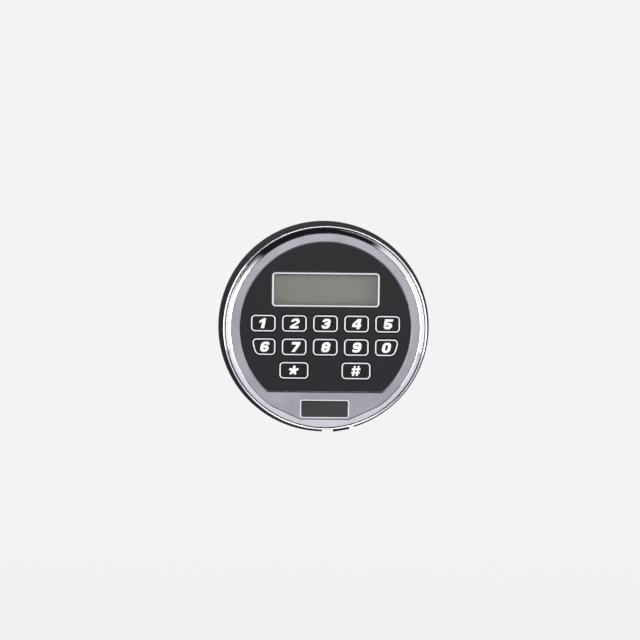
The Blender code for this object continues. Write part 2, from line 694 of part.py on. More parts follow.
def ring_with_gap(inner, outer, middle_angle, half_gap, steps):
    """Outline of a flat ring that is open at one angle."""
    start = middle_angle + half_gap
    end = middle_angle - half_gap + math.tau
    return arc(outer, start, end, steps) + arc(inner, end, start, steps)


def build_base_gasket(finish_material):
    """Foam ring in the flange's rear groove, open where the latch passes."""
    outline = ring_with_gap(GASKET_INNER_RADIUS, GASKET_OUTER_RADIUS, LATCH_TILT - math.pi / 2,
                            GASKET_GAP_HALF_ANGLE, INNER_SEGMENTS)
    return finish(prism("base_gasket", outline, 0.0, GASKET_THICKNESS), finish_material)


def build_release_latch(finish_material):
    """Sliding plate: finger tab, keyhole round the spindle's groove, and a tail lip for the spring."""
    half_eye = LATCH_EYE_WIDTH / 2
    half_arm = LATCH_ARM_WIDTH / 2
    half_tab = LATCH_TAB_WIDTH / 2
    shoulder = NECK_START - SEAT_GAP
    half_outline = [(-LATCH_EYE_REACH, half_eye), (LATCH_EYE_REACH, half_eye), (LATCH_EYE_REACH, half_arm),
                    (shoulder, half_arm), (shoulder, half_tab), (LATCH_TAB_REACH, half_tab)]
    corners = half_outline + [(u, -v) for u, v in reversed(half_outline)]
    low = SEAT_GAP
    high = low + LATCH_PLATE_THICKNESS
    outline = latch_frame(corners)
    narrow = GROOVE_RADIUS + SEAT_GAP
    wide = SPINDLE_RADIUS + SEAT_GAP
    meet = (LATCH_TRAVEL ** 2 + narrow ** 2 - wide ** 2) / (2 * LATCH_TRAVEL)
    narrow_angle = math.acos(min(meet, 0.0) / narrow)
    wide_angle = math.pi - math.asin(narrow * math.sin(narrow_angle) / wide)
    keyhole = arc(wide, -wide_angle, wide_angle, BOSS_SEGMENTS, (LATCH_TRAVEL, 0.0))
    keyhole += arc(narrow, narrow_angle, math.tau - narrow_angle, BOSS_SEGMENTS)[1:-1]
    lip_start = LATCH_TAB_REACH - LATCH_LIP_INSET - LATCH_LIP_THICKNESS
    lip = latch_rectangle(lip_start, LATCH_TAB_REACH - LATCH_LIP_INSET, half_tab - LATCH_LIP_INSET)
    lip_front = FLANGE_THICKNESS - LATCH_LIP_SETBACK
    tail_start = -LATCH_EYE_REACH + LATCH_LIP_INSET
    tail_half = LATCH_TAIL_LIP_WIDTH / 2
    tail = latch_rectangle(tail_start, -LATCH_EYE_REACH + LATCH_TAIL_LIP_THICKNESS, tail_half)
    latch = layered("release_latch", [(outline, low), (outline, high)],
                    [[(latch_frame(keyhole), low), (latch_frame(keyhole), high)]],
                    high_features=[[(lip, high), (lip, lip_front)], [(tail, high), (tail, TAIL_LIP_FRONT)]])
    return finish(latch, finish_material, origin=place(0.0, 0.0, low))


def build_latch_spring(finish_material):
    """Return spring between the latch's tail and the end of its pocket."""
    spring = coil("latch_spring", LATCH_SPRING_RADIUS, LATCH_SPRING_WIRE_RADIUS, LATCH_SPRING_LENGTH,
                  LATCH_SPRING_TURNS)
    middle = SEAT_GAP + LATCH_SPRING_RADIUS + LATCH_SPRING_WIRE_RADIUS
    start = latch_frame([(-LATCH_EYE_REACH - SEAT_GAP, 0.0)])[0]
    lay_down = Matrix.Rotation(math.pi / 2, 4, "X")
    tilt = Matrix.Rotation(-LATCH_TILT, 4, "Y")
    spring.data.transform(Matrix.Translation(place(*start, middle)) @ tilt @ lay_down)
    return finish(spring, finish_material)


def build_rear_hardware(finishes):
    """Bush in the barrel, toothed washer and mounting nut."""
    bush_inner = SPINDLE_RADIUS + SEAT_GAP
    bush_outer = bush_inner + BUSH_WALL
    bush = prism("spindle_bush", circle(bush_outer, SHAFT_SEGMENTS), BARREL_END + SEAT_GAP, -SEAT_GAP,
                 [circle(bush_inner, SHAFT_SEGMENTS)])
    finish(bush, finishes["bush"])
    bore = circle(BARREL_RADIUS + SEAT_GAP, SHAFT_SEGMENTS)
    teeth = []
    for index in range(TOOTH_COUNT * 2):
        angle = math.pi * index / TOOTH_COUNT
        radius = TOOTHED_WASHER_RADIUS - (TOOTH_DEPTH if index % 2 else 0.0)
        teeth.append((radius * math.cos(angle), radius * math.sin(angle)))
    washer = prism("toothed_washer", teeth, WASHER_REAR, -DOOR_THICKNESS - SEAT_GAP, [bore])
    finish(washer, finishes["steel"])
    hexagon = regular_polygon(MOUNTING_NUT_FLATS, 6, SHAFT_SEGMENTS)
    finish(prism("mounting_nut", hexagon, NUT_REAR, NUT_FRONT, [bore]), finishes["steel"])


# Head shells

def build_chrome_ring(finish_material, knob):
    """Outer ring: side wall, bead, fine groove, crowned chamfer and the ledge under the front plate."""
    shoulder = RING_FRONT - RING_SHOULDER_DROP
    bead_inner = HEAD_RADIUS - BEAD_WIDTH
    groove_inner = bead_inner - GROOVE_WIDTH
    ledge_front = PLATE_REAR - SEAT_GAP
    ledge_rear = ledge_front - LEDGE_THICKNESS
    inner = HEAD_RADIUS - HEAD_WALL
    ledge_inner = PLATE_RADIUS + SEAT_GAP - LEDGE_WIDTH
    profile = [
        (inner, HEAD_REAR),
        (HEAD_RADIUS - RING_REAR_CHAMFER, HEAD_REAR),
        (HEAD_RADIUS, HEAD_REAR + RING_REAR_CHAMFER),
        (HEAD_RADIUS, shoulder - BEAD_HEIGHT / 2),
        (HEAD_RADIUS - BEAD_WIDTH / 4, shoulder + BEAD_HEIGHT / 3),
        (HEAD_RADIUS - BEAD_WIDTH / 2, shoulder + BEAD_HEIGHT / 2),
        (bead_inner + GROOVE_WIDTH / 3, shoulder + BEAD_HEIGHT / 3),
        (bead_inner, shoulder - GROOVE_DEPTH),
        (groove_inner, shoulder - GROOVE_DEPTH),
    ]
    for across, up in CHAMFER_CROWN_SHARES:
        profile.append((groove_inner - CHAMFER_WIDTH * across, shoulder + RING_SHOULDER_DROP * up))
    profile += [(ledge_inner, RING_FRONT), (ledge_inner, ledge_rear), (inner, ledge_rear)]
    ring = turned("chrome_ring", profile)
    seat = plate_outline(SEAT_GAP)
    cut(ring, prism("seat", seat, ledge_front, RING_FRONT + OVERRUN))
    return finish(ring, finish_material, knob)


def build_front_plate(finish_material, knob):
    """Satin plate: recess with a web for the panel, recess and hole for the port, four screw bosses."""
    web_front = PLATE_REAR + PANEL_WEB_THICKNESS
    panel_recess = [(d_outline(SEAT_GAP + PANEL_BEVEL_WIDTH), PLATE_FRONT),
                    (d_outline(SEAT_GAP), PANEL_FRONT), (d_outline(SEAT_GAP), web_front)]
    web_holes = []
    for name, key_spot in named_keys():
        opening = key_outline(name, key_spot, KEY_LIP + SEAT_GAP)
        web_holes.append([(opening, PLATE_REAR), (opening, web_front)])
    pane = window_outline(SEAT_GAP)
    web_holes.append([(pane, PLATE_REAR), (pane, web_front)])
    centre = (0.0, PORT_CENTRE)
    floor = PLATE_FRONT - PORT_COVER_THICKNESS - SEAT_GAP
    width = PORT_COVER_WIDTH + 2 * SEAT_GAP
    height = PORT_COVER_HEIGHT + 2 * SEAT_GAP
    corner = PORT_COVER_CORNER + SEAT_GAP
    hole = rounded_rectangle(PORT_HOLE_WIDTH, PORT_HOLE_HEIGHT, corner, centre)
    recess = rounded_rectangle(width, height, corner, centre)
    bevel = rounded_rectangle(width + 2 * PORT_BEVEL, height + 2 * PORT_BEVEL, corner + PORT_BEVEL, centre)
    port = [(hole, PLATE_REAR), (hole, floor), (recess, floor), (recess, PLATE_FRONT - PORT_BEVEL),
            (bevel, PLATE_FRONT)]
    bosses = []
    boss_end = BACK_INNER + SEAT_GAP
    bore_end = boss_end + HEAD_SCREW_LENGTH
    for angle in SCREW_BOSS_ANGLES:
        spot = (SCREW_BOSS_CIRCLE * math.cos(angle), SCREW_BOSS_CIRCLE * math.sin(angle))
        boss = circle(SCREW_BOSS_RADIUS, BOSS_SEGMENTS, spot)
        bore = circle(HEAD_SCREW_RADIUS + SEAT_GAP, BOSS_SEGMENTS, spot)
        bosses.append([(boss, PLATE_REAR), (boss, boss_end), (bore, boss_end), (bore, bore_end)])
    outer = [(plate_outline(), PLATE_REAR), (plate_outline(), PLATE_FRONT)]
    plate = layered("front_plate", outer, [port], low_features=bosses, recesses=[(panel_recess, web_holes)])
    return finish(plate, finish_material, knob)


def named_keys():
    """Each key's name and centre."""
    keys = []
    for row, names in enumerate(KEY_ROWS):
        for column, name in enumerate(names):
            if name:
                keys.append((name, key_centre(row, column)))
    return keys


def build_face_panel(finish_material, knob):
    """Black panel with an opening for each key and for the display frame."""
    holes = []
    for name, centre in named_keys():
        opening = key_outline(name, centre, SEAT_GAP)
        holes.append([(opening, PANEL_REAR), (opening, PANEL_FRONT)])
    window = rounded_rectangle(DISPLAY_WIDTH + 2 * SEAT_GAP, DISPLAY_HEIGHT + 2 * SEAT_GAP,
                               DISPLAY_CORNER + SEAT_GAP, (0.0, DISPLAY_CENTRE))
    holes.append([(window, PANEL_REAR), (window, PANEL_FRONT)])
    outer = [(d_outline(), PANEL_REAR), (d_outline(), PANEL_FRONT - PANEL_EDGE),
             (d_outline(-PANEL_EDGE), PANEL_FRONT)]
    return finish(layered("face_panel", outer, holes), finish_material, knob)


def build_display(finishes, knob):
    """Silver frame, clear window and display module."""
    centre = (0.0, DISPLAY_CENTRE)
    outer = rounded_rectangle(DISPLAY_WIDTH, DISPLAY_HEIGHT, DISPLAY_CORNER, centre)
    line = DISPLAY_FRAME_LINE
    inner = rounded_rectangle(DISPLAY_WIDTH - 2 * line, DISPLAY_HEIGHT - 2 * line,
                              DISPLAY_CORNER - line, centre)
    frame = prism("display_frame", outer, PANEL_REAR, PANEL_FRONT + DISPLAY_FRAME_PROUD, [inner])
    finish(frame, finishes["silver"], knob)
    window = prism("display_window", window_outline(), WINDOW_REAR, WINDOW_REAR + WINDOW_THICKNESS)
    finish(window, finishes["glass"], knob)
    glass = rounded_rectangle(DISPLAY_WIDTH + 2 * MODULE_MARGIN, DISPLAY_HEIGHT + 2 * MODULE_MARGIN,
                              MODULE_CORNER, centre)
    module = prism("display_module", glass, MAT_REAR, MAT_REAR + MODULE_THICKNESS)
    finish(module, finishes["display"], knob)


def build_keys(finish_material, knob):
    """Twelve keys, each with a raised frame line round its sunk field and a lip behind the panel."""
    lip_front = KEY_LIP_REAR + KEY_LIP_THICKNESS
    front = PANEL_FRONT + KEY_PROUD
    for name, centre in named_keys():
        lip = key_outline(name, centre, KEY_LIP)
        cap = key_outline(name, centre)
        field = key_outline(name, centre, -KEY_FRAME_LINE)
        key = layered("key_" + name, [(lip, KEY_LIP_REAR), (lip, lip_front), (cap, lip_front), (cap, front),
                                      (field, front), (field, front - KEY_FIELD_SINK)])
        finish(key, finish_material, knob, place(*centre, front))


def build_key_mat(finish_material, knob):
    """Silicone mat with a dome under each key."""
    keys = named_keys()
    half_width = max(centre[0] for _, centre in keys) + KEY_WIDTH / 2 + MAT_MARGIN
    narrow = max(centre[0] for name, centre in keys if name in WIDE_KEYS) + WIDE_KEY_WIDTH / 2 + MAT_MARGIN
    half_row = KEY_HEIGHT / 2
    top = TOP_ROW_HEIGHT + half_row
    waist = TOP_ROW_HEIGHT - ROW_PITCH - half_row
    bottom = TOP_ROW_HEIGHT - 2 * ROW_PITCH - half_row - MAT_MARGIN
    corners = [(narrow, bottom), (narrow, waist), (half_width, waist), (half_width, top),
               (-half_width, top), (-half_width, waist), (-narrow, waist), (-narrow, bottom)]
    outline = rounded(corners, [MAT_CORNER] * len(corners))
    front = MAT_REAR + MAT_THICKNESS
    domes = []
    for _, centre in keys:
        foot = circle(DOME_RADIUS, DOME_SEGMENTS, centre)
        crest = circle(DOME_TOP_RADIUS, DOME_SEGMENTS, centre)
        domes.append([(foot, front), (crest, DOME_FRONT)])
    mat = layered("key_mat", [(outline, MAT_REAR), (outline, front)], high_features=domes)
    return finish(mat, finish_material, knob)


# Electronics

def build_electronics(finishes, knob):
    """Main board, buzzer and micro-USB socket."""
    holes = []
    for angle in SCREW_BOSS_ANGLES:
        spot = (SCREW_BOSS_CIRCLE * math.cos(angle), SCREW_BOSS_CIRCLE * math.sin(angle))
        holes.append(circle(SCREW_BOSS_RADIUS + SEAT_GAP, BOSS_SEGMENTS, spot))
    board = prism("main_board", circle(BOARD_RADIUS, INNER_SEGMENTS), BOARD_REAR, BOARD_FRONT, holes)
    finish(board, finishes["board"], knob)
    front = BOARD_REAR - SEAT_GAP
    rear = front - BUZZER_HEIGHT
    buzzer = turned("buzzer", [(0.0, front), (BUZZER_RADIUS, front), (BUZZER_RADIUS, rear),
                               (BUZZER_HOLE_RADIUS, rear), (BUZZER_HOLE_RADIUS, rear + BUZZER_HOLE_DEPTH),
                               (0.0, rear + BUZZER_HOLE_DEPTH)], SHAFT_SEGMENTS, (BUZZER_SPREAD, 0.0))
    finish(buzzer, finishes["black"], knob)
    centre = (0.0, PORT_CENTRE)
    mouth = PLATE_FRONT - PORT_COVER_THICKNESS - 2 * SEAT_GAP
    shell = rounded_rectangle(SOCKET_WIDTH, SOCKET_HEIGHT, PORT_COVER_CORNER, centre)
    throat_width = SOCKET_WIDTH - 2 * SOCKET_WALL
    throat_height = SOCKET_HEIGHT - 2 * SOCKET_WALL
    throat = rounded_rectangle(throat_width, throat_height, SOCKET_WALL / 2, centre)
    tongue = rounded_rectangle(throat_width - 2 * SOCKET_TONGUE_MARGIN, SOCKET_TONGUE_HEIGHT,
                               SOCKET_TONGUE_HEIGHT / 4, centre)
    floor = mouth - SOCKET_DEPTH
    socket = layered("usb_socket", [(shell, MAT_REAR), (shell, mouth), (throat, mouth), (throat, floor)],
                     high_features=[[(tongue, floor), (tongue, mouth - SOCKET_WALL)]])
    finish(socket, finishes["steel"], knob)


def build_port_cover(finish_material, knob):
    """Rubber flap that swings up about its rounded top edge."""
    half = PORT_COVER_THICKNESS / 2
    pivot_z = PORT_CENTRE + PORT_COVER_HEIGHT / 2 - half
    pivot_out = PLATE_FRONT - half
    bottom = PORT_CENTRE - PORT_COVER_HEIGHT / 2
    edge = PORT_COVER_EDGE
    side_view = arc(half, 0.0, math.pi, CORNER_STEPS * 2, (pivot_out, pivot_z))
    side_view += [(pivot_out - half, bottom), (pivot_out + half - edge, bottom),
                  (pivot_out + half, bottom + edge)]
    mesh_data = bmesh.new()
    rings = []
    for x in (-PORT_COVER_WIDTH / 2, PORT_COVER_WIDTH / 2):
        rings.append([mesh_data.verts.new(place(x, z, out)) for out, z in side_view])
    for index in range(len(side_view)):
        after = (index + 1) % len(side_view)
        mesh_data.faces.new((rings[0][index], rings[0][after], rings[1][after], rings[1][index]))
    for ring in rings:
        mesh_data.faces.new(ring)
    cover = new_object("port_cover", mesh_data)
    return finish(cover, finish_material, knob, place(0.0, pivot_z, pivot_out))


# Head back, cells and contacts

def bay_outline(side, grow):
    """Outline of the bay above (side 1) or below (side -1) the spindle."""
    width = CELL_LENGTH + 2 * CONTACT_ROOM + 2 * grow
    height = BAY_HEIGHT + 2 * grow
    centre = (0.0, side * (BAY_START + BAY_HEIGHT / 2))
    return rounded_rectangle(width, height, BAY_CORNER + max(grow, 0.0), centre)


def cell_heights(side):
    """Heights of the two cells in a bay."""
    first = BAY_START + SEAT_GAP + CELL_RADIUS
    return [side * first, side * (first + 2 * CELL_RADIUS + CELL_SPACING)]


def screw_hole(spot, screw_radius, head_radius, head_height):
    """Counterbored hole through the head back."""
    head = circle(head_radius + SEAT_GAP, BOSS_SEGMENTS, spot)
    shank = circle(screw_radius + SEAT_GAP, BOSS_SEGMENTS, spot)
    floor = HEAD_REAR + head_height + SEAT_GAP
    return [(head, HEAD_REAR), (head, floor), (shank, floor), (shank, BACK_INNER)]


def build_head_back(finish_material, knob):
    """Moulded rear chassis: rim, two walled battery bays, screw and plunger holes."""
    rim = circle(BACK_RADIUS, INNER_SEGMENTS)
    rim_inner = circle(BACK_RADIUS - BACK_RIM_WALL, INNER_SEGMENTS)
    rim_front = HEAD_REAR + BACK_RIM_HEIGHT
    outer = [(rim, HEAD_REAR), (rim, rim_front), (rim_inner, rim_front), (rim_inner, BACK_INNER)]
    bore = circle(SPINDLE_RADIUS + SEAT_GAP, SHAFT_SEGMENTS)
    plunger = circle(PLUNGER_RADIUS + SEAT_GAP, BOSS_SEGMENTS, (-SOLENOID_SPREAD, 0.0))
    holes = [[(bore, HEAD_REAR), (bore, BACK_INNER)], [(plunger, HEAD_REAR), (plunger, BACK_INNER)]]
    for angle in SCREW_BOSS_ANGLES:
        spot = (SCREW_BOSS_CIRCLE * math.cos(angle), SCREW_BOSS_CIRCLE * math.sin(angle))
        holes.append(screw_hole(spot, HEAD_SCREW_RADIUS, HEAD_SCREW_HEAD_RADIUS, HEAD_SCREW_HEAD_HEIGHT))
    for side in (-1, 1):
        spot = (side * SPINDLE_SCREW_SPREAD, 0.0)
        holes.append(screw_hole(spot, SPINDLE_SCREW_RADIUS, SPINDLE_SCREW_HEAD_RADIUS,
                                HEAD_SCREW_HEAD_HEIGHT))
        cover_floor = HEAD_REAR + BAY_COVER_THICKNESS + SEAT_GAP
        wall_front = BOARD_REAR - SEAT_GAP
        cover_seat = bay_outline(side, BAY_COVER_LEDGE)
        inside = bay_outline(side, 0.0)
        outside = bay_outline(side, BAY_WALL)
        holes.append([(cover_seat, HEAD_REAR), (cover_seat, cover_floor), (inside, cover_floor),
                      (inside, wall_front), (outside, wall_front), (outside, BACK_INNER)])
    return finish(layered("head_back", outer, holes), finish_material, knob)


def build_batteries(finishes, knob):
    """Battery covers, AAA cells and the contact plates at both ends of each bay."""
    number = 1
    for side, where in ((1, "upper"), (-1, "lower")):
        lid = bay_outline(side, BAY_COVER_LEDGE - SEAT_GAP)
        cover = prism("battery_cover_" + where, lid, HEAD_REAR, HEAD_REAR + BAY_COVER_THICKNESS)
        finish(cover, finishes["black"], knob)
        for direction, height in zip((1, -1), cell_heights(side)):
            build_cell("cell_" + str(number), height, direction, finishes["cell"], knob)
            number += 1
        for end, hand in ((-1, "left"), (1, "right")):
            build_contact("battery_contact_" + where + "_" + hand, side, end, finishes["nickel"], knob)


def build_cell(name, height, direction, finish_material, knob):
    """One AAA cell lying along X, with its nub towards +X or -X."""
    body_end = CELL_LENGTH / 2 - CELL_NUB_HEIGHT
    cell = turned(name, [
        (0.0, -CELL_LENGTH / 2),
        (CELL_RADIUS - CELL_EDGE, -CELL_LENGTH / 2),
        (CELL_RADIUS, -CELL_LENGTH / 2 + CELL_EDGE),
        (CELL_RADIUS, body_end - CELL_EDGE),
        (CELL_RADIUS - CELL_EDGE, body_end),
        (CELL_NUB_RADIUS, body_end),
        (CELL_NUB_RADIUS, CELL_LENGTH / 2),
        (0.0, CELL_LENGTH / 2),
    ], BOSS_SEGMENTS)
    lay_along_x = Matrix.Rotation(direction * math.pi / 2, 4, "Z")
    cell.data.transform(Matrix.Translation(place(0.0, height, CELL_CENTRE_OUT)) @ lay_along_x)
    return finish(cell, finish_material, knob)


def build_contact(name, side, end, finish_material, knob):
    """Spring strip with a bulge towards each cell of a bay."""
    wall = CELL_LENGTH / 2 + CONTACT_ROOM - SEAT_GAP - CONTACT_THICKNESS
    crest = CELL_LENGTH / 2 + SEAT_GAP
    half_bulge = CONTACT_BULGE_WIDTH / 2
    half_crest = CONTACT_CREST_WIDTH / 2
    low, high = sorted(cell_heights(side))
    path = [(wall, low - CELL_RADIUS + CELL_EDGE)]
    for height in (low, high):
        path += [(wall, height - half_bulge), (crest, height - half_crest), (crest, height + half_crest),
                 (wall, height + half_bulge)]
    path.append((wall, high + CELL_RADIUS - CELL_EDGE))
    outer_side = [(x + CONTACT_THICKNESS, z) for x, z in reversed(path)]
    outline = [(end * x, z) for x, z in path + outer_side]
    half = CONTACT_HEIGHT / 2
    strip = prism(name, outline, CELL_CENTRE_OUT - half, CELL_CENTRE_OUT + half)
    return finish(strip, finish_material, knob)


def build_solenoid(finishes, knob):
    """Box frame, coil on its bobbin, plunger and the spring behind the plunger."""
    centre = (-SOLENOID_SPREAD, 0.0)
    rear = BACK_INNER + SEAT_GAP
    front = BOARD_REAR - SEAT_GAP
    box = rounded_rectangle(SOLENOID_WIDTH, SOLENOID_WIDTH, SOLENOID_PLATE / 2, centre)
    guide = circle(PLUNGER_RADIUS + SEAT_GAP, BOSS_SEGMENTS, centre)
    frame = layered("solenoid_frame", [(box, rear), (box, front)],
                    low_features=[[(guide, rear), (guide, rear + SOLENOID_PLATE + OVERRUN)]])
    slot_width = SOLENOID_WIDTH - 2 * SOLENOID_PLATE
    slot = [(centre[0] - slot_width / 2, -SOLENOID_WIDTH), (centre[0] + slot_width / 2, -SOLENOID_WIDTH),
            (centre[0] + slot_width / 2, SOLENOID_WIDTH), (centre[0] - slot_width / 2, SOLENOID_WIDTH)]
    cut(frame, prism("slot", slot, rear + SOLENOID_PLATE, front - SOLENOID_PLATE))
    finish(frame, finishes["steel"], knob)
    coil_rear = rear + SOLENOID_PLATE + SEAT_GAP
    coil_front = front - SOLENOID_PLATE - SEAT_GAP
    bore = PLUNGER_RADIUS + SEAT_GAP
    waist = COIL_RADIUS - COIL_WINDING_SINK
    bobbin = turned("solenoid_coil", [
        (bore, coil_rear), (COIL_RADIUS, coil_rear), (COIL_RADIUS, coil_rear + COIL_FLANGE_THICKNESS),
        (waist, coil_rear + COIL_FLANGE_THICKNESS), (waist, coil_front - COIL_FLANGE_THICKNESS),
        (COIL_RADIUS, coil_front - COIL_FLANGE_THICKNESS), (COIL_RADIUS, coil_front), (bore, coil_front),
    ], COIL_SEGMENTS, centre)
    finish(bobbin, finishes["copper"], knob)
    end = PLUNGER_TIP + PLUNGER_LENGTH
    plunger = turned("blocking_plunger", [
        (0.0, PLUNGER_TIP), (PLUNGER_RADIUS - PLUNGER_CHAMFER, PLUNGER_TIP),
        (PLUNGER_RADIUS, PLUNGER_TIP + PLUNGER_CHAMFER),
        (PLUNGER_RADIUS, end), (0.0, end),
    ], BOSS_SEGMENTS, centre)
    finish(plunger, finishes["steel"], knob, place(*centre, PLUNGER_TIP))
    spring_rear = end + SEAT_GAP
    length = front - SOLENOID_PLATE - SEAT_GAP - spring_rear
    spring = coil("plunger_spring", PLUNGER_SPRING_RADIUS, PLUNGER_SPRING_WIRE_RADIUS, length,
                  PLUNGER_SPRING_TURNS)
    spring.data.transform(Matrix.Translation(place(*centre, spring_rear + length)))
    finish(spring, finishes["spring"], knob)


def build_screw(name, spot, radius, head_radius, length, finish_material, knob):
    """Countersunk screw from the rear of the head back."""
    rear = HEAD_REAR + SEAT_GAP / 2
    under_head = rear + HEAD_SCREW_HEAD_HEIGHT
    screw = turned(name, [
        (0.0, rear), (head_radius, rear), (radius, under_head), (radius, rear + length),
        (0.0, rear + length),
    ], BOSS_SEGMENTS, spot)
    return finish(screw, finish_material, knob)


def build_spindle_group(finishes, knob):
    """Spindle, stop washer, locking cam, spring washer and cam nut."""
    shaft = circle(SPINDLE_RADIUS, SHAFT_SEGMENTS)
    groove = circle(GROOVE_RADIUS, SHAFT_SEGMENTS)
    square = regular_polygon(SPINDLE_SQUARE, 4, SHAFT_SEGMENTS)
    stud = circle(SPINDLE_STUD_RADIUS, SHAFT_SEGMENTS)
    rear = BACK_INNER + SEAT_GAP
    front = rear + SPINDLE_FLANGE_THICKNESS
    shank = [(shaft, rear), (shaft, CHANNEL_DEPTH), (groove, CHANNEL_DEPTH), (groove, 0.0), (shaft, 0.0),
             (shaft, BARREL_END), (square, BARREL_END), (square, CAM_REAR), (stud, CAM_REAR),
             (stud, SPINDLE_END)]
    pad = rounded_rectangle(SPINDLE_FLANGE_WIDTH, SPINDLE_FLANGE_HEIGHT, SPINDLE_FLANGE_CORNER)
    holes = []
    for index, side in enumerate((-1, 1)):
        spot = (side * SPINDLE_SCREW_SPREAD, 0.0)
        hole = circle(SPINDLE_SCREW_RADIUS + SEAT_GAP, BOSS_SEGMENTS, spot)
        holes.append([(hole, rear), (hole, front)])
        build_screw("spindle_screw_" + str(index + 1), spot, SPINDLE_SCREW_RADIUS,
                    SPINDLE_SCREW_HEAD_RADIUS, front - HEAD_REAR - SEAT_GAP, finishes["steel"], knob)
    spindle = layered("spindle", [(pad, rear), (pad, front)], holes, low_features=[shank])
    finish(spindle, finishes["steel"], knob)
    hole = regular_polygon(SPINDLE_SQUARE + 2 * SEAT_GAP, 4, SHAFT_SEGMENTS)
    disc_radius = BARREL_RADIUS - STOP_RIM_WALL - SEAT_GAP
    tab_start = STOP_TAB_ANGLE - STOP_TAB_HALF_WIDTH
    tab_end = STOP_TAB_ANGLE + STOP_TAB_HALF_WIDTH
    stop_outline = arc(disc_radius, tab_end, tab_start + math.tau, SHAFT_SEGMENTS)
    stop_outline += arc(BARREL_RADIUS, tab_start, tab_end, CORNER_STEPS)
    finish(prism("stop_washer", stop_outline, STOP_REAR, STOP_FRONT, [hole]), finishes["steel"], knob)
    half_tip = CAM_TIP_WIDTH / 2
    taper = math.atan2(CAM_EYE_RADIUS - half_tip, CAM_REACH)
    eye = arc(CAM_EYE_RADIUS, math.pi / 2 - taper, 3 * math.pi / 2 + taper, SHAFT_SEGMENTS // 2)
    tip_corners = [(CAM_EYE_RADIUS, -CAM_EYE_RADIUS), (CAM_REACH, -half_tip), (CAM_REACH, half_tip),
                   (CAM_EYE_RADIUS, CAM_EYE_RADIUS)]
    tip = rounded(tip_corners, [0.0, CAM_TIP_CORNER, CAM_TIP_CORNER, 0.0])[1:-1]
    finish(prism("locking_cam", eye + tip, CAM_REAR, CAM_FRONT, [hole]), finishes["steel"], knob)
    split = ring_with_gap(SPINDLE_STUD_RADIUS + SEAT_GAP, SPRING_WASHER_RADIUS, 0.0, SPRING_WASHER_SPLIT,
                          COIL_SEGMENTS)
    washer = prism("spring_washer", split, SPRING_WASHER_REAR, SPRING_WASHER_FRONT)
    finish(washer, finishes["steel"], knob)
    hexagon = regular_polygon(CAM_NUT_FLATS, 6, BOSS_SEGMENTS)
    bore = circle(SPINDLE_STUD_RADIUS + SEAT_GAP, BOSS_SEGMENTS)
    finish(prism("cam_nut", hexagon, CAM_NUT_REAR, CAM_NUT_FRONT, [bore]), finishes["steel"], knob)


def make_finishes():
    """The lock's materials."""
    return {
        "black_paint": make_material("black_paint", (0.018, 0.018, 0.020), 0.42, 0.0),
        "black": make_material("black_plastic", (0.02, 0.02, 0.022), 0.5, 0.0),
        "foam": make_material("gasket_foam", (0.03, 0.03, 0.03), 0.9, 0.0),
        "chrome": make_material("polished_chrome", (0.78, 0.78, 0.80), 0.06, 1.0),
        "satin": make_material("satin_chrome", (0.40, 0.39, 0.41), 0.38, 1.0),
        "panel": make_material("matt_black_panel", (0.025, 0.024, 0.030), 0.6, 0.0),
        "silver": make_material("silver_line", (0.65, 0.65, 0.67), 0.35, 0.6),
        "glass": make_material("clear_window", (0.85, 0.87, 0.85), 0.05, 0.0),
        "display": make_material("display_glass", (0.23, 0.23, 0.21), 0.3, 0.0),
        "silicone": make_material("grey_silicone", (0.35, 0.36, 0.37), 0.7, 0.0),
        "rubber": make_material("port_rubber", (0.045, 0.045, 0.05), 0.8, 0.0),
        "board": make_material("board_green", (0.02, 0.12, 0.05), 0.45, 0.0),
        "steel": make_material("zinc_plated_steel", (0.55, 0.55, 0.57), 0.3, 1.0),
        "spring": make_material("spring_steel", (0.45, 0.45, 0.46), 0.25, 1.0),
        "nickel": make_material("nickel_plate", (0.60, 0.58, 0.54), 0.22, 1.0),
        "copper": make_material("copper_winding", (0.55, 0.22, 0.09), 0.35, 0.8),
        "cell": make_material("cell_jacket", (0.12, 0.13, 0.16), 0.35, 0.3),
        "bush": make_material("bush_bronze", (0.42, 0.26, 0.10), 0.3, 1.0),
    }


def main():
    """Build the whole lock."""
    clear_scene()
    finishes = make_finishes()
    knob = bpy.data.objects.new("knob_axis", None)
    bpy.context.collection.objects.link(knob)
    build_base_flange(finishes["black_paint"])
    build_base_gasket(finishes["foam"])
    build_release_latch(finishes["black_paint"])
    build_latch_spring(finishes["spring"])
    build_rear_hardware(finishes)
    build_chrome_ring(finishes["chrome"], knob)
    build_front_plate(finishes["satin"], knob)
    build_face_panel(finishes["panel"], knob)
    build_display(finishes, knob)
    build_keys(finishes["panel"], knob)
    build_key_mat(finishes["silicone"], knob)
    build_electronics(finishes, knob)
    build_port_cover(finishes["rubber"], knob)
    build_head_back(finishes["black"], knob)
    build_batteries(finishes, knob)
    build_solenoid(finishes, knob)
    for index, angle in enumerate(SCREW_BOSS_ANGLES):
        spot = (SCREW_BOSS_CIRCLE * math.cos(angle), SCREW_BOSS_CIRCLE * math.sin(angle))
        build_screw("head_screw_" + str(index + 1), spot, HEAD_SCREW_RADIUS, HEAD_SCREW_HEAD_RADIUS,
                    HEAD_SCREW_LENGTH, finishes["steel"], knob)
    build_spindle_group(finishes, knob)


main()
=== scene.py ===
"""Looks of the electronic cabinet lock.

Every length in this file is in millimetres until `place` or MM turns it into the frame's metres.
Outlines are lists of (x, z) points, seen from the front, and `out` is the distance in front of the door.
"""

import logging
from collections.abc import Callable, Iterable, Sequence
from dataclasses import dataclass
from enum import Enum
from math import acos, asin, atan2, copysign, cos, hypot, pi, radians, sin, sqrt, tan, tau
from typing import Any

import bmesh
import bpy
from bmesh.types import BMEdge, BMesh, BMVert
from bpy.types import ID, Material, Node, NodeSocket, NodeTree, Object
from mathutils import Matrix, Vector

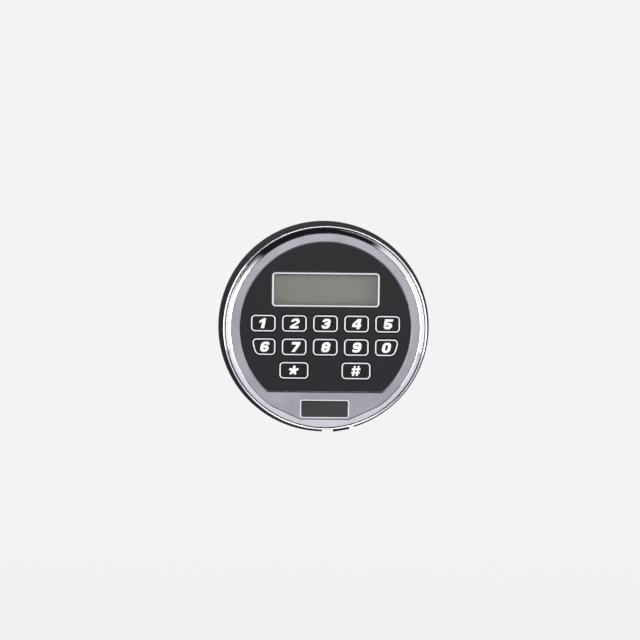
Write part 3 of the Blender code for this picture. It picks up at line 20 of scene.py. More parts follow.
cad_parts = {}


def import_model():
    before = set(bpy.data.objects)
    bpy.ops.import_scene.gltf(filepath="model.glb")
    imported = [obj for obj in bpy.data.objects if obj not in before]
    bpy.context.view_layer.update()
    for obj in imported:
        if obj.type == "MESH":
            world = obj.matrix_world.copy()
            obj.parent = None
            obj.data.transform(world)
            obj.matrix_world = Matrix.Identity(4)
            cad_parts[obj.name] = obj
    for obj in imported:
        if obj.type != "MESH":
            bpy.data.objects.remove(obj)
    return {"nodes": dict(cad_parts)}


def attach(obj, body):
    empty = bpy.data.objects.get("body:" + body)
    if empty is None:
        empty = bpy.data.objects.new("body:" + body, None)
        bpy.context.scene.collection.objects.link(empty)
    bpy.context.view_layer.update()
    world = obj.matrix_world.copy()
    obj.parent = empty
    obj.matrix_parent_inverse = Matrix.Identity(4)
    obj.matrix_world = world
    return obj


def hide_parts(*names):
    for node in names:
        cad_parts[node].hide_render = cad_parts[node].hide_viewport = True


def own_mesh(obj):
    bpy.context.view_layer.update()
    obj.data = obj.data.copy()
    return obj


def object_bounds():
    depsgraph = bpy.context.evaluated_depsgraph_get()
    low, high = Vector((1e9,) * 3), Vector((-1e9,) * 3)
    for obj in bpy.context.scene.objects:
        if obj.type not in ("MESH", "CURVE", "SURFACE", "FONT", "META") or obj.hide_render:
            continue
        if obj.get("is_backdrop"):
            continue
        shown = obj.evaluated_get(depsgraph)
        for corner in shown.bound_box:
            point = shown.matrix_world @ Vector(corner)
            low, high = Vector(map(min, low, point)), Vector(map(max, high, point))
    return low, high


LOG = logging.getLogger("lock")
MM = 0.001
MERGE_DISTANCE = 0.0005 * MM
SHARP_ANGLE = radians(32)
LARGE_FACE_WEIGHT = 80
RING_STATIONS = 288
GASKET_STEPS = 180
WASHER_STEPS = 144
SECTION_POINTS = 96
EYE_STEPS = 72
PIN_STEPS = 48
HOLE_STEPS = 32
COLOUR_SOCKETS = (6, 7)
COLOUR_RESULT = 2

Point = tuple[float, float]
Outline = list[Point]
Stack = list[tuple[Outline, float]]
Grown = Callable[[float], Outline]
Box = tuple[float, ...]
Sockets = dict[str | int, Any]


def place(x: float, z: float, out: float) -> Vector:
    """Point of the frame, in metres, from a place on the face and a distance in front of the door."""
    return Vector((x, -out, z)) * MM


# Outlines


def arc(radius: float, start: float, end: float, steps: int, centre: Point = (0.0, 0.0)) -> Outline:
    """Points along an arc between two angles, in radians, both ends included."""
    angles = [start + (end - start) * step / steps for step in range(steps + 1)]
    return [(centre[0] + radius * cos(a), centre[1] + radius * sin(a)) for a in angles]


def circle(radius: float, segments: int, centre: Point = (0.0, 0.0)) -> Outline:
    """Round outline."""
    return arc(radius, 0.0, tau, segments, centre)[:-1]


def rounded(corners: Sequence[Point], radii: Sequence[float], steps: int = 8) -> Outline:
    """Polygon with rounded corners.

    Args:
        corners: Corner points in order.
        radii: Radius for each corner; zero keeps the corner as one point.
        steps: Chords for each round.

    Returns:
        The outline.
    """
    points = [Vector(corner) for corner in corners]
    outline: Outline = []
    for index, corner in enumerate(points):
        if radii[index] == 0.0:
            outline.append((corner.x, corner.y))
            continue
        back = (points[index - 1] - corner).normalized()
        ahead = (points[(index + 1) % len(points)] - corner).normalized()
        half = back.angle(ahead) / 2
        centre = corner + (back + ahead).normalized() * radii[index] / sin(half)
        first = corner + back * radii[index] / tan(half) - centre
        last = corner + ahead * radii[index] / tan(half) - centre
        sweep = atan2(first.x * last.y - first.y * last.x, first.dot(last))
        for step in range(steps + 1):
            point = centre + Matrix.Rotation(sweep * step / steps, 2) @ first
            outline.append((point.x, point.y))
    return outline


def rounded_rectangle(width: float, height: float, radius: float, centre: Point = (0.0, 0.0)) -> Outline:
    """Rectangle with rounded corners.

    Args:
        width: Size along x.
        height: Size along z.
        radius: Corner radius.
        centre: Centre of the rectangle.

    Returns:
        The outline.
    """
    right, left = centre[0] + width / 2, centre[0] - width / 2
    top, bottom = centre[1] + height / 2, centre[1] - height / 2
    return rounded([(right, bottom), (right, top), (left, top), (left, bottom)], [radius] * 4)


def regular_polygon(flats: float, sides: int, segments: int) -> Outline:
    """Outline of a nut or a square with a set number of points.

    Args:
        flats: Size across the flats.
        sides: Number of sides.
        segments: Number of points, a multiple of the sides.

    Returns:
        The outline.
    """
    sector = tau / sides
    outline: Outline = []
    for step in range(segments):
        angle = tau * step / segments
        from_flat = (angle + sector / 2) % sector - sector / 2
        radius = flats / 2 / cos(from_flat)
        outline.append((radius * cos(angle), radius * sin(angle)))
    return outline


def soft_edge(grown: Grown, start: float, end: float, radius: float, inward: bool = True,
              steps: int = 4) -> Stack:
    """Rounded edge between a wall and a flat end.

    Args:
        grown: Gives the outline for a growth.
        start: Depth of the wall's other end, which sets the direction of the stack.
        end: Depth of the flat end.
        radius: Radius of the edge.
        inward: True for an outer wall, False for the wall of a hole.
        steps: Chords across the edge.

    Returns:
        The outlines from the wall to the flat end.
    """
    direction = 1.0 if end > start else -1.0
    side = -1.0 if inward else 1.0
    stack: Stack = []
    for step in range(steps + 1):
        angle = pi / 2 * step / steps
        grow = side * radius * (1 - cos(angle))
        stack.append((grown(grow), end - direction * radius * (1 - sin(angle))))
    return stack


# Meshes


def add_walls(mesh: BMesh, stack: Stack) -> tuple[list[BMVert], list[BMVert]]:
    """Walls between the outlines of a stack.

    Args:
        mesh: Mesh that gets the walls.
        stack: Outlines with equal numbers of points and their depths.

    Returns:
        The first and the last ring of vertices.
    """
    rings = [[mesh.verts.new(place(x, z, out)) for x, z in outline] for outline, out in stack]
    for lower, upper in zip(rings, rings[1:]):
        count = len(lower)
        for index in range(count):
            after = (index + 1) % count
            mesh.faces.new((lower[index], lower[after], upper[after], upper[index]))
    return rings[0], rings[-1]


def ring_edges(mesh: BMesh, ring: Sequence[BMVert]) -> list[BMEdge]:
    """Edges that close a ring of vertices.

    Args:
        mesh: Mesh that holds the ring.
        ring: Vertices in order.

    Returns:
        The edges, new ones where there were none.
    """
    edges = []
    for index, vertex in enumerate(ring):
        pair = (vertex, ring[(index + 1) % len(ring)])
        edges.append(mesh.edges.get(pair) or mesh.edges.new(pair))
    return edges


def fill_between(mesh: BMesh, edges: Sequence[BMEdge]) -> None:
    """Flat faces inside closed outlines, with the inner outlines left open."""
    bmesh.ops.triangle_fill(mesh, edges=edges, use_beauty=True, normal=Vector((0, 1, 0)))


def link(name: str, data: ID) -> Object:
    """New object with that data, linked to the scene."""
    made = bpy.data.objects.new(name, data)
    bpy.context.scene.collection.objects.link(made)
    return made


def as_object(name: str, mesh: BMesh, sharp: float = SHARP_ANGLE) -> Object:
    """Object from a built mesh, smooth on its rounds and even on its flats.

    Args:
        name: Name of the piece.
        mesh: The built mesh, which is freed.
        sharp: Angle above which an edge stays sharp.

    Returns:
        The object, linked to the scene.
    """
    bmesh.ops.remove_doubles(mesh, verts=mesh.verts, dist=MERGE_DISTANCE)
    bmesh.ops.recalc_face_normals(mesh, faces=mesh.faces)
    data = bpy.data.meshes.new(name)
    mesh.to_mesh(data)
    mesh.free()
    return smooth(link(name, data), sharp)


def smooth(piece: Object, sharp: float = SHARP_ANGLE) -> Object:
    """Smooth shading with sharp edges by angle, weighted so that flat faces stay flat.

    Normals that a cut carried over are dropped first, because they would tilt the new ones.

    Args:
        piece: Object with a mesh.
        sharp: Angle above which an edge stays sharp.

    Returns:
        The same object.
    """
    carried = piece.data.attributes.get("custom_normal")
    if carried is not None:
        piece.data.attributes.remove(carried)
    piece.data.shade_smooth()
    piece.data.set_sharp_from_angle(angle=sharp)
    weighted = piece.modifiers.new("even flats", "WEIGHTED_NORMAL")
    weighted.keep_sharp = True
    weighted.weight = LARGE_FACE_WEIGHT
    return settle(piece)


def settle(piece: Object) -> Object:
    """Turn a piece's modifiers into plain mesh.

    Args:
        piece: Object with modifiers.

    Returns:
        The same object without modifiers.
    """
    graph = bpy.context.evaluated_depsgraph_get()
    data = bpy.data.meshes.new_from_object(piece.evaluated_get(graph), preserve_all_data_layers=True,
                                           depsgraph=graph)
    piece.modifiers.clear()
    piece.data = data
    data.name = piece.name
    return piece


def layered(name: str, outer: Stack, holes: Sequence[Stack] = (), low: Sequence[Stack] = (),
            high: Sequence[Stack] = (), recesses: Sequence[tuple[Stack, Sequence[Stack]]] = (),
            sharp: float = SHARP_ANGLE) -> Object:
    """Solid between two flat ends.

    Args:
        name: Name of the piece.
        outer: Outer wall from the low end to the high end.
        holes: Walls of through holes, from the low end to the high end.
        low: Bosses or blind holes that start on the low end and close at their own last outline.
        high: The same on the high end.
        recesses: Walls that start on the high end, each with the holes that end on its floor.
        sharp: Angle above which an edge stays sharp.

    Returns:
        The piece.
    """
    mesh = bmesh.new()
    low_edges: list[BMEdge] = []
    high_edges: list[BMEdge] = []
    for stack in (outer, *holes):
        first, last = add_walls(mesh, stack)
        low_edges += ring_edges(mesh, first)
        high_edges += ring_edges(mesh, last)
    for features, edges in ((low, low_edges), (high, high_edges)):
        for stack in features:
            first, last = add_walls(mesh, stack)
            edges += ring_edges(mesh, first)
            mesh.faces.new(last)
    for recess, floor_holes in recesses:
        first, last = add_walls(mesh, recess)
        high_edges += ring_edges(mesh, first)
        floor_edges = ring_edges(mesh, last)
        for stack in floor_holes:
            first, last = add_walls(mesh, stack)
            low_edges += ring_edges(mesh, first)
            floor_edges += ring_edges(mesh, last)
        fill_between(mesh, floor_edges)
    for edges in (low_edges, high_edges):
        fill_between(mesh, edges)
    return as_object(name, mesh, sharp)


def turned(name: str, profile: Sequence[Point], segments: int, centre: Point = (0.0, 0.0)) -> Object:
    """Solid of revolution of a closed (radius, out) profile, about a line along the door's normal."""
    return lofted(name, profile, lambda radius, out, _: (radius, out), segments, centre)


def lofted(name: str, profile: Sequence[Point], shape: Callable[[float, float, int], Point], stations: int,
           centre: Point = (0.0, 0.0)) -> Object:
    """Ring whose section may change as it goes round.

    Args:
        name: Name of the piece.
        profile: Closed list of (radius, out) points.
        shape: Moves a profile point for a station.
        stations: Steps round the axis.
        centre: Where the axis is on the face.

    Returns:
        The piece.
    """
    mesh = bmesh.new()
    rings = []
    for station in range(stations):
        angle = tau * station / stations
        ring = []
        for radius, out in profile:
            moved, depth = shape(radius, out, station)
            ring.append(mesh.verts.new(place(centre[0] + moved * cos(angle),
                                             centre[1] + moved * sin(angle), depth)))
        rings.append(ring)
    count = len(profile)
    on_axis = [radius == 0.0 for radius, _ in profile]
    for index, ring in enumerate(rings):
        beside = rings[(index + 1) % stations]
        for step in range(count):
            after = (step + 1) % count
            if on_axis[step] and on_axis[after]:
                continue
            corners = (ring[step], ring[after], beside[after], beside[step])
            if on_axis[step]:
                corners = (ring[step], ring[after], beside[after])
            elif on_axis[after]:
                corners = (ring[step], ring[after], beside[step])
            mesh.faces.new(corners)
    return as_object(name, mesh)


def combine(body: Object, others: Iterable[Object], operation: str) -> None:
    """Take closed shapes out of a body, or add them to it, and remove them.

    Args:
        body: Piece that changes.
        others: Closed shapes.
        operation: Blender's name of what to do with them.
    """
    for other in list(others):
        change = body.modifiers.new(operation, "BOOLEAN")
        change.solver, change.operation, change.object = "EXACT", operation, other
        settle(body)
        bpy.data.objects.remove(other, do_unlink=True)


def both_ends(grown: Grown, low: float, high: float, radius: float, inward: bool = True) -> Stack:
    """Wall with a rounded edge at each end, from the low one to the high one."""
    return soft_edge(grown, high, low, radius, inward)[::-1] + soft_edge(grown, low, high, radius, inward)


def hexagon_nut(name: str, flats: float, bore: float, low: float, high: float) -> Object:
    """Hexagonal nut with coned corners and a countersunk bore.

    Args:
        name: Name of the piece.
        flats: Size across the flats.
        bore: Radius of the bore.
        low: Depth of its rear face.
        high: Depth of its front face.

    Returns:
        The piece.
    """
    across = regular_polygon(flats, 6, SECTION_POINTS)
    face_share, sink_share, cone, steps = 0.96, 0.08, radians(30), 4
    face_radius = flats / 2 * face_share
    depth = (flats / 2 / cos(pi / 6) - face_radius) * tan(cone)

    def section(step: int) -> Outline:
        """Hexagon cut by the cone at a step from the face."""
        cap = face_radius + depth * step / steps / tan(cone)
        shares = [min(1.0, cap / hypot(x, z)) for x, z in across]
        return [(x * share, z * share) for (x, z), share in zip(across, shares)]

    rear = [(section(step), low + depth * step / steps) for step in range(steps + 1)]
    front = [(section(step), high - depth * step / steps) for step in reversed(range(steps + 1))]
    sink = bore * sink_share
    wide, narrow = circle(bore + sink, SECTION_POINTS), circle(bore, SECTION_POINTS)
    hole = [(wide, low), (narrow, low + sink), (narrow, high - sink), (wide, high)]
    return layered(name, rear + front, [hole])


def pan_head_screw(name: str, head: float, height: float, shank: float, low: float, high: float,
                   centre: Point) -> Object:
    """Pan head screw with a cross recess, its head towards the door.

    Args:
        name: Name of the piece.
        head: Radius of the head.
        height: Height of the head.
        shank: Radius of the shank at the root of its thread.
        low: Depth of the head's top.
        high: Depth of the tip.
        centre: Place of its axis on the face.

    Returns:
        The piece.
    """
    flat, crown, point, steps = 0.5, 0.7, 0.3, 5
    profile: list[Point] = [(0.0, low), (head * flat, low)]
    for step in range(1, steps + 1):
        angle = pi / 2 * step / steps
        profile.append((head * (flat + (1 - flat) * sin(angle)),
                        low + height * crown * (1 - cos(angle))))
    profile += [(head, low + height), (shank, low + height), (shank, high - shank), (shank * point, high),
                (0.0, high)]
    screw = turned(name, profile, PIN_STEPS, centre)
    length, width, corner, depth = head * 1.15, head * 0.26, head * 0.1, height * 0.55
    slots = [rounded_rectangle(*size, corner, centre) for size in ((length, width), (width, length))]
    tools = [layered("slot", [(slot, low - height), (slot, low + depth)]) for slot in slots]
    combine(screw, tools, "DIFFERENCE")
    return smooth(screw)


# Shapes grown by geometry nodes


class Recipe:
    """A geometry node tree with named sizes, run once to make a plain piece."""

    def __init__(self, name: str) -> None:
        """Start a tree with its output."""
        self.tree = bpy.data.node_groups.new(name, "GeometryNodeTree")
        self.tree.interface.new_socket("Geometry", in_out="OUTPUT", socket_type="NodeSocketGeometry")
        self.inputs = self.tree.nodes.new("NodeGroupInput")
        self.output = self.tree.nodes.new("NodeGroupOutput")
        self.values: dict[str, float | int] = {}

    def size(self, name: str, value: float | int) -> NodeSocket:
        """Add a named input.

        Args:
            name: Name of the size.
            value: Its value; a whole number makes a whole-number input.

        Returns:
            The socket to link from.
        """
        kind = "NodeSocketInt" if isinstance(value, int) else "NodeSocketFloat"
        socket = self.tree.interface.new_socket(name, in_out="INPUT", socket_type=kind)
        self.values[socket.identifier] = value
        return self.inputs.outputs[name]

    def add(self, kind: str, sockets: Sockets | None = None, **settings: Any) -> Node:
        """Add a node to the tree."""
        return add_node(self.tree, kind, sockets, **settings)

    def sweep(self, path: NodeSocket, section: Node) -> NodeSocket:
        """Solid that a section makes as it runs along a path."""
        return self.add("GeometryNodeCurveToMesh", {"Curve": path, "Profile Curve": section.outputs[0],
                                                    "Fill Caps": True}).outputs[0]

    def grow(self, name: str, geometry: NodeSocket, surface: "Surface", move: Vector,
             turn: tuple[float, float, float] = (pi / 2, 0.0, 0.0)) -> Object:
        """Close the tree, run it and keep its result as plain mesh.

        Args:
            name: Name of the piece.
            geometry: What the tree has made, with its axis along z.
            surface: Finish that the tree sets.
            move: Place of the piece in the frame.
            turn: Turn that lays the axis where it belongs.

        Returns:
            The piece.
        """
        laid = self.add("GeometryNodeTransform", {"Geometry": geometry, "Rotation": turn,
                                                  "Translation": move})
        whole = self.add("GeometryNodeRealizeInstances", {"Geometry": laid.outputs[0]})
        dressed = self.add("GeometryNodeSetMaterial", {"Geometry": whole.outputs[0],
                                                       "Material": surface.material()})
        self.tree.links.new(dressed.outputs[0], self.output.inputs[0])
        piece = link(name, bpy.data.meshes.new(name))
        modifier = piece.modifiers.new("recipe", "NODES")
        modifier.node_group = self.tree
        for identifier, value in self.values.items():
            modifier[identifier] = value
        settle(piece)
        bpy.data.node_groups.remove(self.tree)
        return piece


def spiral(recipe: Recipe, turns: float, radius: float, height: float) -> NodeSocket:
    """Helical path about z.

    Args:
        recipe: Tree that gets the path.
        turns: Number of turns.
        radius: Radius of the path.
        height: Its whole rise.

    Returns:
        The curve.
    """
    path = recipe.add("GeometryNodeCurveSpiral", {
        "Resolution": HOLE_STEPS, "Rotations": recipe.size("Turns", turns),
        "Start Radius": recipe.size("Radius", radius * MM), "End Radius": recipe.inputs.outputs["Radius"],
        "Height": recipe.size("Height", height * MM)})
    upright = recipe.add("GeometryNodeSetCurveNormal", {"Curve": path.outputs[0]}, mode="Z_UP")
    return upright.outputs[0]


def wire_coil(name: str, radius: float, wire: float, length: float, turns: float, surface: "Surface",
              turn: tuple[float, float, float], move: Vector) -> Object:
    """Coil spring of round wire.

    Args:
        name: Name of the piece.
        radius: Radius of the coil at the middle of the wire.
        wire: Radius of the wire.
        length: Free length between the outer sides of its ends.
        turns: Number of turns.
        surface: Its finish.
        turn: Turn that lays its axis.
        move: Where it starts.

    Returns:
        The piece.
    """
    recipe = Recipe("coil")
    path = spiral(recipe, turns, radius, length - 2 * wire)
    section = recipe.add("GeometryNodeCurvePrimitiveCircle", {
        "Resolution": 10, "Radius": recipe.size("Wire", wire * MM)})
    swept = recipe.sweep(path, section)
    return smooth(recipe.grow(name, swept, surface, move, turn), sharp=radians(50))


def thread(name: str, core: float, crest: float, pitch: float, low: float, high: float, surface: "Surface",
           centre: Point = (0.0, 0.0)) -> Object:
    """Helical ridge of a screw thread along the door's normal.

    Args:
        name: Name of the piece.
        core: Radius at the root.
        crest: Radius at the crest.
        pitch: Distance between turns.
        low: Depth where the ridge starts, in front of the door.
        high: Depth where it ends.
        surface: Its finish.
        centre: Where its axis is on the face.

    Returns:
        The piece.
    """
    recipe = Recipe("thread")
    path = spiral(recipe, (high - low) / pitch, core, high - low)
    base_share, top_share, root_share = 0.46, 0.08, 0.05
    rise, base, top = (crest - core) * MM, pitch * base_share * MM, pitch * top_share * MM
    section = recipe.add("GeometryNodeCurvePrimitiveQuadrilateral", {
        "Point 1": (root_share * rise, -base, 0.0), "Point 2": (root_share * rise, base, 0.0),
        "Point 3": (-rise, top, 0.0), "Point 4": (-rise, -top, 0.0)}, mode="POINTS")
    swept = recipe.sweep(path, section)
    return smooth(recipe.grow(name, swept, surface, place(*centre, low)), sharp=radians(25))


def ring_of_teeth(name: str, radius: float, count: int, root: float, tip: float, height: float, twist: float,
                  surface: "Surface", move: Vector) -> Object:
    """Tapered, twisted teeth round a washer.

    Args:
        name: Name of the piece.
        radius: Where the teeth start.
        count: Number of teeth.
        root: Half diagonal of a tooth at its root.
        tip: The same at its tip.
        height: How far a tooth stands out.
        twist: How far each tooth is bent out of the washer's plane, in radians.
        surface: Their finish.
        move: Middle of the ring.

    Returns:
        The piece.
    """
    recipe = Recipe("teeth")
    spots = recipe.add("GeometryNodeMeshCircle", {"Vertices": recipe.size("Count", count),
                                                  "Radius": recipe.size("Ring", radius * MM)})
    tooth = recipe.add("GeometryNodeMeshCone", {
        "Vertices": 4, "Side Segments": 2, "Radius Top": recipe.size("Tip", tip * MM),
        "Radius Bottom": recipe.size("Root", root * MM), "Depth": recipe.size("Tooth", height * MM)})
    square = recipe.add("GeometryNodeTransform", {"Geometry": tooth.outputs[0],
                                                  "Rotation": (0.0, 0.0, pi / 4)})
    flatness = 0.55
    bent = recipe.add("GeometryNodeTransform", {"Geometry": square.outputs[0], "Rotation": (0.0, 0.0, twist),
                                                "Scale": (flatness, 1.0, 1.0)})
    lying = recipe.add("GeometryNodeTransform", {"Geometry": bent.outputs[0],
                                                 "Rotation": (0.0, pi / 2, 0.0)})
    number = recipe.add("GeometryNodeInputIndex")
    angle = recipe.add("ShaderNodeMath", {0: number.outputs[0], 1: tau / count}, operation="MULTIPLY")
    turn = recipe.add("ShaderNodeCombineXYZ", {"Z": angle.outputs[0]})
    placed = recipe.add("GeometryNodeInstanceOnPoints", {
        "Points": spots.outputs[0], "Instance": lying.outputs[0], "Rotation": turn.outputs[0]})
    return smooth(recipe.grow(name, placed.outputs[0], surface, move))


def split_washer(name: str, inner: float, outer: float, thickness: float, rise: float, opening: float,
                 surface: "Surface", move: Vector) -> Object:
    """Spring washer: a flat wire bent nearly round, with its ends apart along the axis.

    Args:
        name: Name of the piece.
        inner: Inner radius.
        outer: Outer radius.
        thickness: Thickness of the wire.
        rise: How far one end stands off the other.
        opening: Angle of the split, in radians.
        surface: Its finish.
        move: Where the lower end's middle lies.

    Returns:
        The piece.
    """
    recipe = Recipe("split washer")
    path = spiral(recipe, 1.0 - opening / tau, (inner + outer) / 2, rise)
    section = recipe.add("GeometryNodeCurvePrimitiveQuadrilateral", {
        "Width": recipe.size("Band", (outer - inner) * MM),
        "Height": recipe.size("Thickness", thickness * MM)})
    swept = recipe.sweep(path, section)
    return smooth(recipe.grow(name, swept, surface, move))


# Colour and finishes


def linear(code: str) -> tuple[float, float, float, float]:
    """Linear colour from an sRGB hex code.

    Args:
        code: Six hex digits.

    Returns:
        Red, green, blue and alpha.
    """
    values = [int(code[index:index + 2], 16) / 255 for index in (0, 2, 4)]
    straight = [v / 12.92 if v <= 0.04045 else ((v + 0.055) / 1.055) ** 2.4 for v in values]
    return straight[0], straight[1], straight[2], 1.0


def add_node(tree: NodeTree, kind: str, sockets: Sockets | None = None, **settings: Any) -> Node:
    """Add a node with its settings and links.

    Args:
        tree: Tree that gets the node.
        kind: Blender's name of the node's type.
        sockets: Input names or numbers, each with a value or with the output socket to link.
        settings: Attributes of the node.

    Returns:
        The node.
    """
    node = tree.nodes.new(kind)
    for key, value in settings.items():
        setattr(node, key, value)
    for key, value in (sockets or {}).items():
        if isinstance(value, NodeSocket):
            tree.links.new(value, node.inputs[key])
        else:
            node.inputs[key].default_value = value
    return node


def mix_colours(tree: NodeTree, share: NodeSocket, before: Any, after: Any) -> NodeSocket:
    """Mix of two colours, each a plain one or the output socket of a node."""
    first, second = COLOUR_SOCKETS
    return add_node(tree, "ShaderNodeMix", {0: share, first: before, second: after},
                    data_type="RGBA").outputs[COLOUR_RESULT]


@dataclass
class Layers:
    """What a finish adds to: its tree, the place on the piece, and colour, gloss and height so far."""

    tree: NodeTree
    where: NodeSocket
    tone: NodeSocket
    shine: NodeSocket
    height: NodeSocket

    def add(self, kind: str, sockets: Sockets | None = None, **settings: Any) -> Node:
        """Add a node to the tree."""
        return add_node(self.tree, kind, sockets, **settings)

    def mix(self, share: NodeSocket, before: Any, after: Any) -> None:
        """Make the colour a mix of two."""
        self.tone = mix_colours(self.tree, share, before, after)


@dataclass(frozen=True)
class Finish:
    """A surface with a fine grain that moves its colour, gloss and height a little.

    Grain and cloud are the real sizes, in millimetres, of the fine texture and of the broad unevenness.
    """

    name: str
    colour: str
    shade: str
    roughness: float
    metallic: float = 0.0
    ior: float = 1.45
    grain: float = 0.6
    grain_height: float = 0.01
    gloss_play: float = 0.06
    cloud: float = 14.0
    coat: float = 0.0
    coat_roughness: float = 0.08
    alpha: float = 1.0
    stretch: tuple[float, float, float] = (1.0, 1.0, 1.0)

    def make(self) -> Material:
        """Build the material.

        Returns:
            The node material.
        """
        material = bpy.data.materials.new(self.name)
        material.use_nodes = True
        tree = material.node_tree
        shader = tree.nodes["Principled BSDF"]
        shader.inputs["Metallic"].default_value = self.metallic
        if self.metallic < 0.5:
            shader.inputs["IOR"].default_value = self.ior
        shader.inputs["Coat Weight"].default_value = self.coat
        shader.inputs["Coat Roughness"].default_value = self.coat_roughness
        shader.inputs["Alpha"].default_value = self.alpha
        coordinates = add_node(tree, "ShaderNodeTexCoord")
        where = add_node(tree, "ShaderNodeMapping", {"Vector": coordinates.outputs["Object"],
                                                     "Scale": self.stretch}).outputs["Vector"]
        fine = self.noise(tree, where, self.grain, detail=3.0)
        broad = self.noise(tree, where, self.cloud, detail=4.0)
        mixed = add_node(tree, "ShaderNodeMath", {0: fine, 1: broad}, operation="MULTIPLY")
        spread = add_node(tree, "ShaderNodeMapRange", {"Value": mixed.outputs[0], "From Min": 0.12,
                                                       "From Max": 0.42})
        tint = mix_colours(tree, spread.outputs[0], linear(self.shade), linear(self.colour))
        gloss = add_node(tree, "ShaderNodeMapRange", {
            "Value": broad, "From Min": 0.3, "From Max": 0.7,
            "To Min": max(self.roughness - self.gloss_play, 0.02),
            "To Max": self.roughness + self.gloss_play})
        layers = Layers(tree, where, tint, gloss.outputs[0], fine)
        self.detail(layers)
        tree.links.new(layers.tone, shader.inputs["Base Color"])
        tree.links.new(layers.shine, shader.inputs["Roughness"])
        bump = add_node(tree, "ShaderNodeBump", {"Height": layers.height, "Distance": self.grain_height * MM,
                                                 "Strength": 0.6})
        tree.links.new(bump.outputs["Normal"], shader.inputs["Normal"])
        return material

    def noise(self, tree: NodeTree, where: NodeSocket, size: float, detail: float) -> NodeSocket:
        """Value of a noise with patches of a real size in millimetres."""
        return add_node(tree, "ShaderNodeTexNoise", {"Vector": where, "Scale": 1.0 / (size * MM),
                                                     "Detail": detail, "Roughness": 0.6}).outputs["Fac"]

    def detail(self, layers: Layers) -> None:
        """Leave the plain grain as it is; other finishes add their own marks here."""


@dataclass(frozen=True)
class Plated(Finish):
    """Plated metal with faint hairlines from polishing that only its roughness shows."""

    hairline: float = 0.25
    hairline_shine: float = 0.05

    def detail(self, layers: Layers) -> None:
        """Add the hairlines.

        Args:
            layers: The finish so far, which this changes.
        """
        along = layers.add("ShaderNodeMapping", {"Vector": layers.where, "Scale": (1.0, 0.12, 0.12),
                                                 "Rotation": (0.3, 0.5, 0.4)})
        lines = self.noise(layers.tree, along.outputs[0], self.hairline, detail=2.0)
        extra = layers.add("ShaderNodeMapRange", {"Value": lines, "From Min": 0.62, "From Max": 0.75,
                                                  "To Max": self.hairline_shine})
        layers.shine = layers.add("ShaderNodeMath", {0: layers.shine, 1: extra.outputs[0]},
                                  operation="ADD").outputs[0]


@dataclass(frozen=True)
class Dusted(Finish):
    """Matt surface with a few specks of dust."""

    speck: float = 2.6
    speck_colour: str = "77767C"
    speck_size: float = 0.05
    speck_strength: float = 0.5
    bare_share: float = 0.9

    def detail(self, layers: Layers) -> None:
        """Add the specks.

        Args:
            layers: The finish so far, which this changes.
        """
        cells = layers.add("ShaderNodeTexVoronoi", {"Vector": layers.where, "Scale": 1.0 / (self.speck * MM)})
        chosen = layers.add("ShaderNodeSeparateColor", {0: cells.outputs["Color"]})
        few = layers.add("ShaderNodeMath", {0: chosen.outputs[0], 1: self.bare_share},
                         operation="GREATER_THAN")
        near = layers.add("ShaderNodeMath", {0: cells.outputs["Distance"], 1: self.speck_size},
                          operation="LESS_THAN")
        both = layers.add("ShaderNodeMath", {0: few.outputs[0], 1: near.outputs[0]}, operation="MULTIPLY")
        faint = layers.add("ShaderNodeMath", {0: both.outputs[0], 1: self.speck_strength},
                           operation="MULTIPLY")
        layers.mix(faint.outputs[0], layers.tone, linear(self.speck_colour))


@dataclass(frozen=True)
class Celled(Finish):
    """Cut foam with open cells, painted darker in their pits."""

    cell: float = 0.5

    def detail(self, layers: Layers) -> None:
        """Add the cells.

        Args:
            layers: The finish so far, which this changes.
        """
        cells = layers.add("ShaderNodeTexVoronoi", {"Vector": layers.where, "Scale": 1.0 / (self.cell * MM)})
        layers.height = cells.outputs["Distance"]
        # The pits, where the height is lowest, take the darker colour: painted shade in the pores.
        layers.mix(layers.height, linear(self.shade), layers.tone)


@dataclass(frozen=True)
class Striped(Finish):
    """Surface with even bands along one axis, such as wound wire or a printed jacket."""

    band: float = 0.4
    other: str = "6E3417"
    axis: str = "Y"

    def detail(self, layers: Layers) -> None:
        """Add the bands.

        Args:
            layers: The finish so far, which this changes.
        """
        wave = layers.add("ShaderNodeTexWave", {"Vector": layers.where, "Distortion": 0.0,
                                                "Scale": tau / (20 * self.band * MM)},
                          bands_direction=self.axis)
        layers.height = wave.outputs["Fac"]
        # On the winding the darker second colour lies in the hollows between turns: painted shade. On the
        # cell jacket it is the print's second colour.
        layers.mix(layers.height, linear(self.other), layers.tone)


@dataclass(frozen=True)
class Tracked(Finish):
    """Circuit board with copper tracks under its lacquer."""

    cell: float = 3.2
    track: str = "2F7A4C"
    track_start: float = 0.72

    def detail(self, layers: Layers) -> None:
        """Add the tracks.

        Args:
            layers: The finish so far, which this changes.
        """
        cells = layers.add("ShaderNodeTexVoronoi", {"Vector": layers.where, "Scale": 1.0 / (self.cell * MM),
                                                    "Randomness": 0.7}, distance="CHEBYCHEV", feature="F2")
        edges = layers.add("ShaderNodeMath", {0: cells.outputs["Distance"], 1: self.track_start},
                           operation="GREATER_THAN")
        layers.height = edges.outputs[0]
        layers.mix(layers.height, layers.tone, linear(self.track))


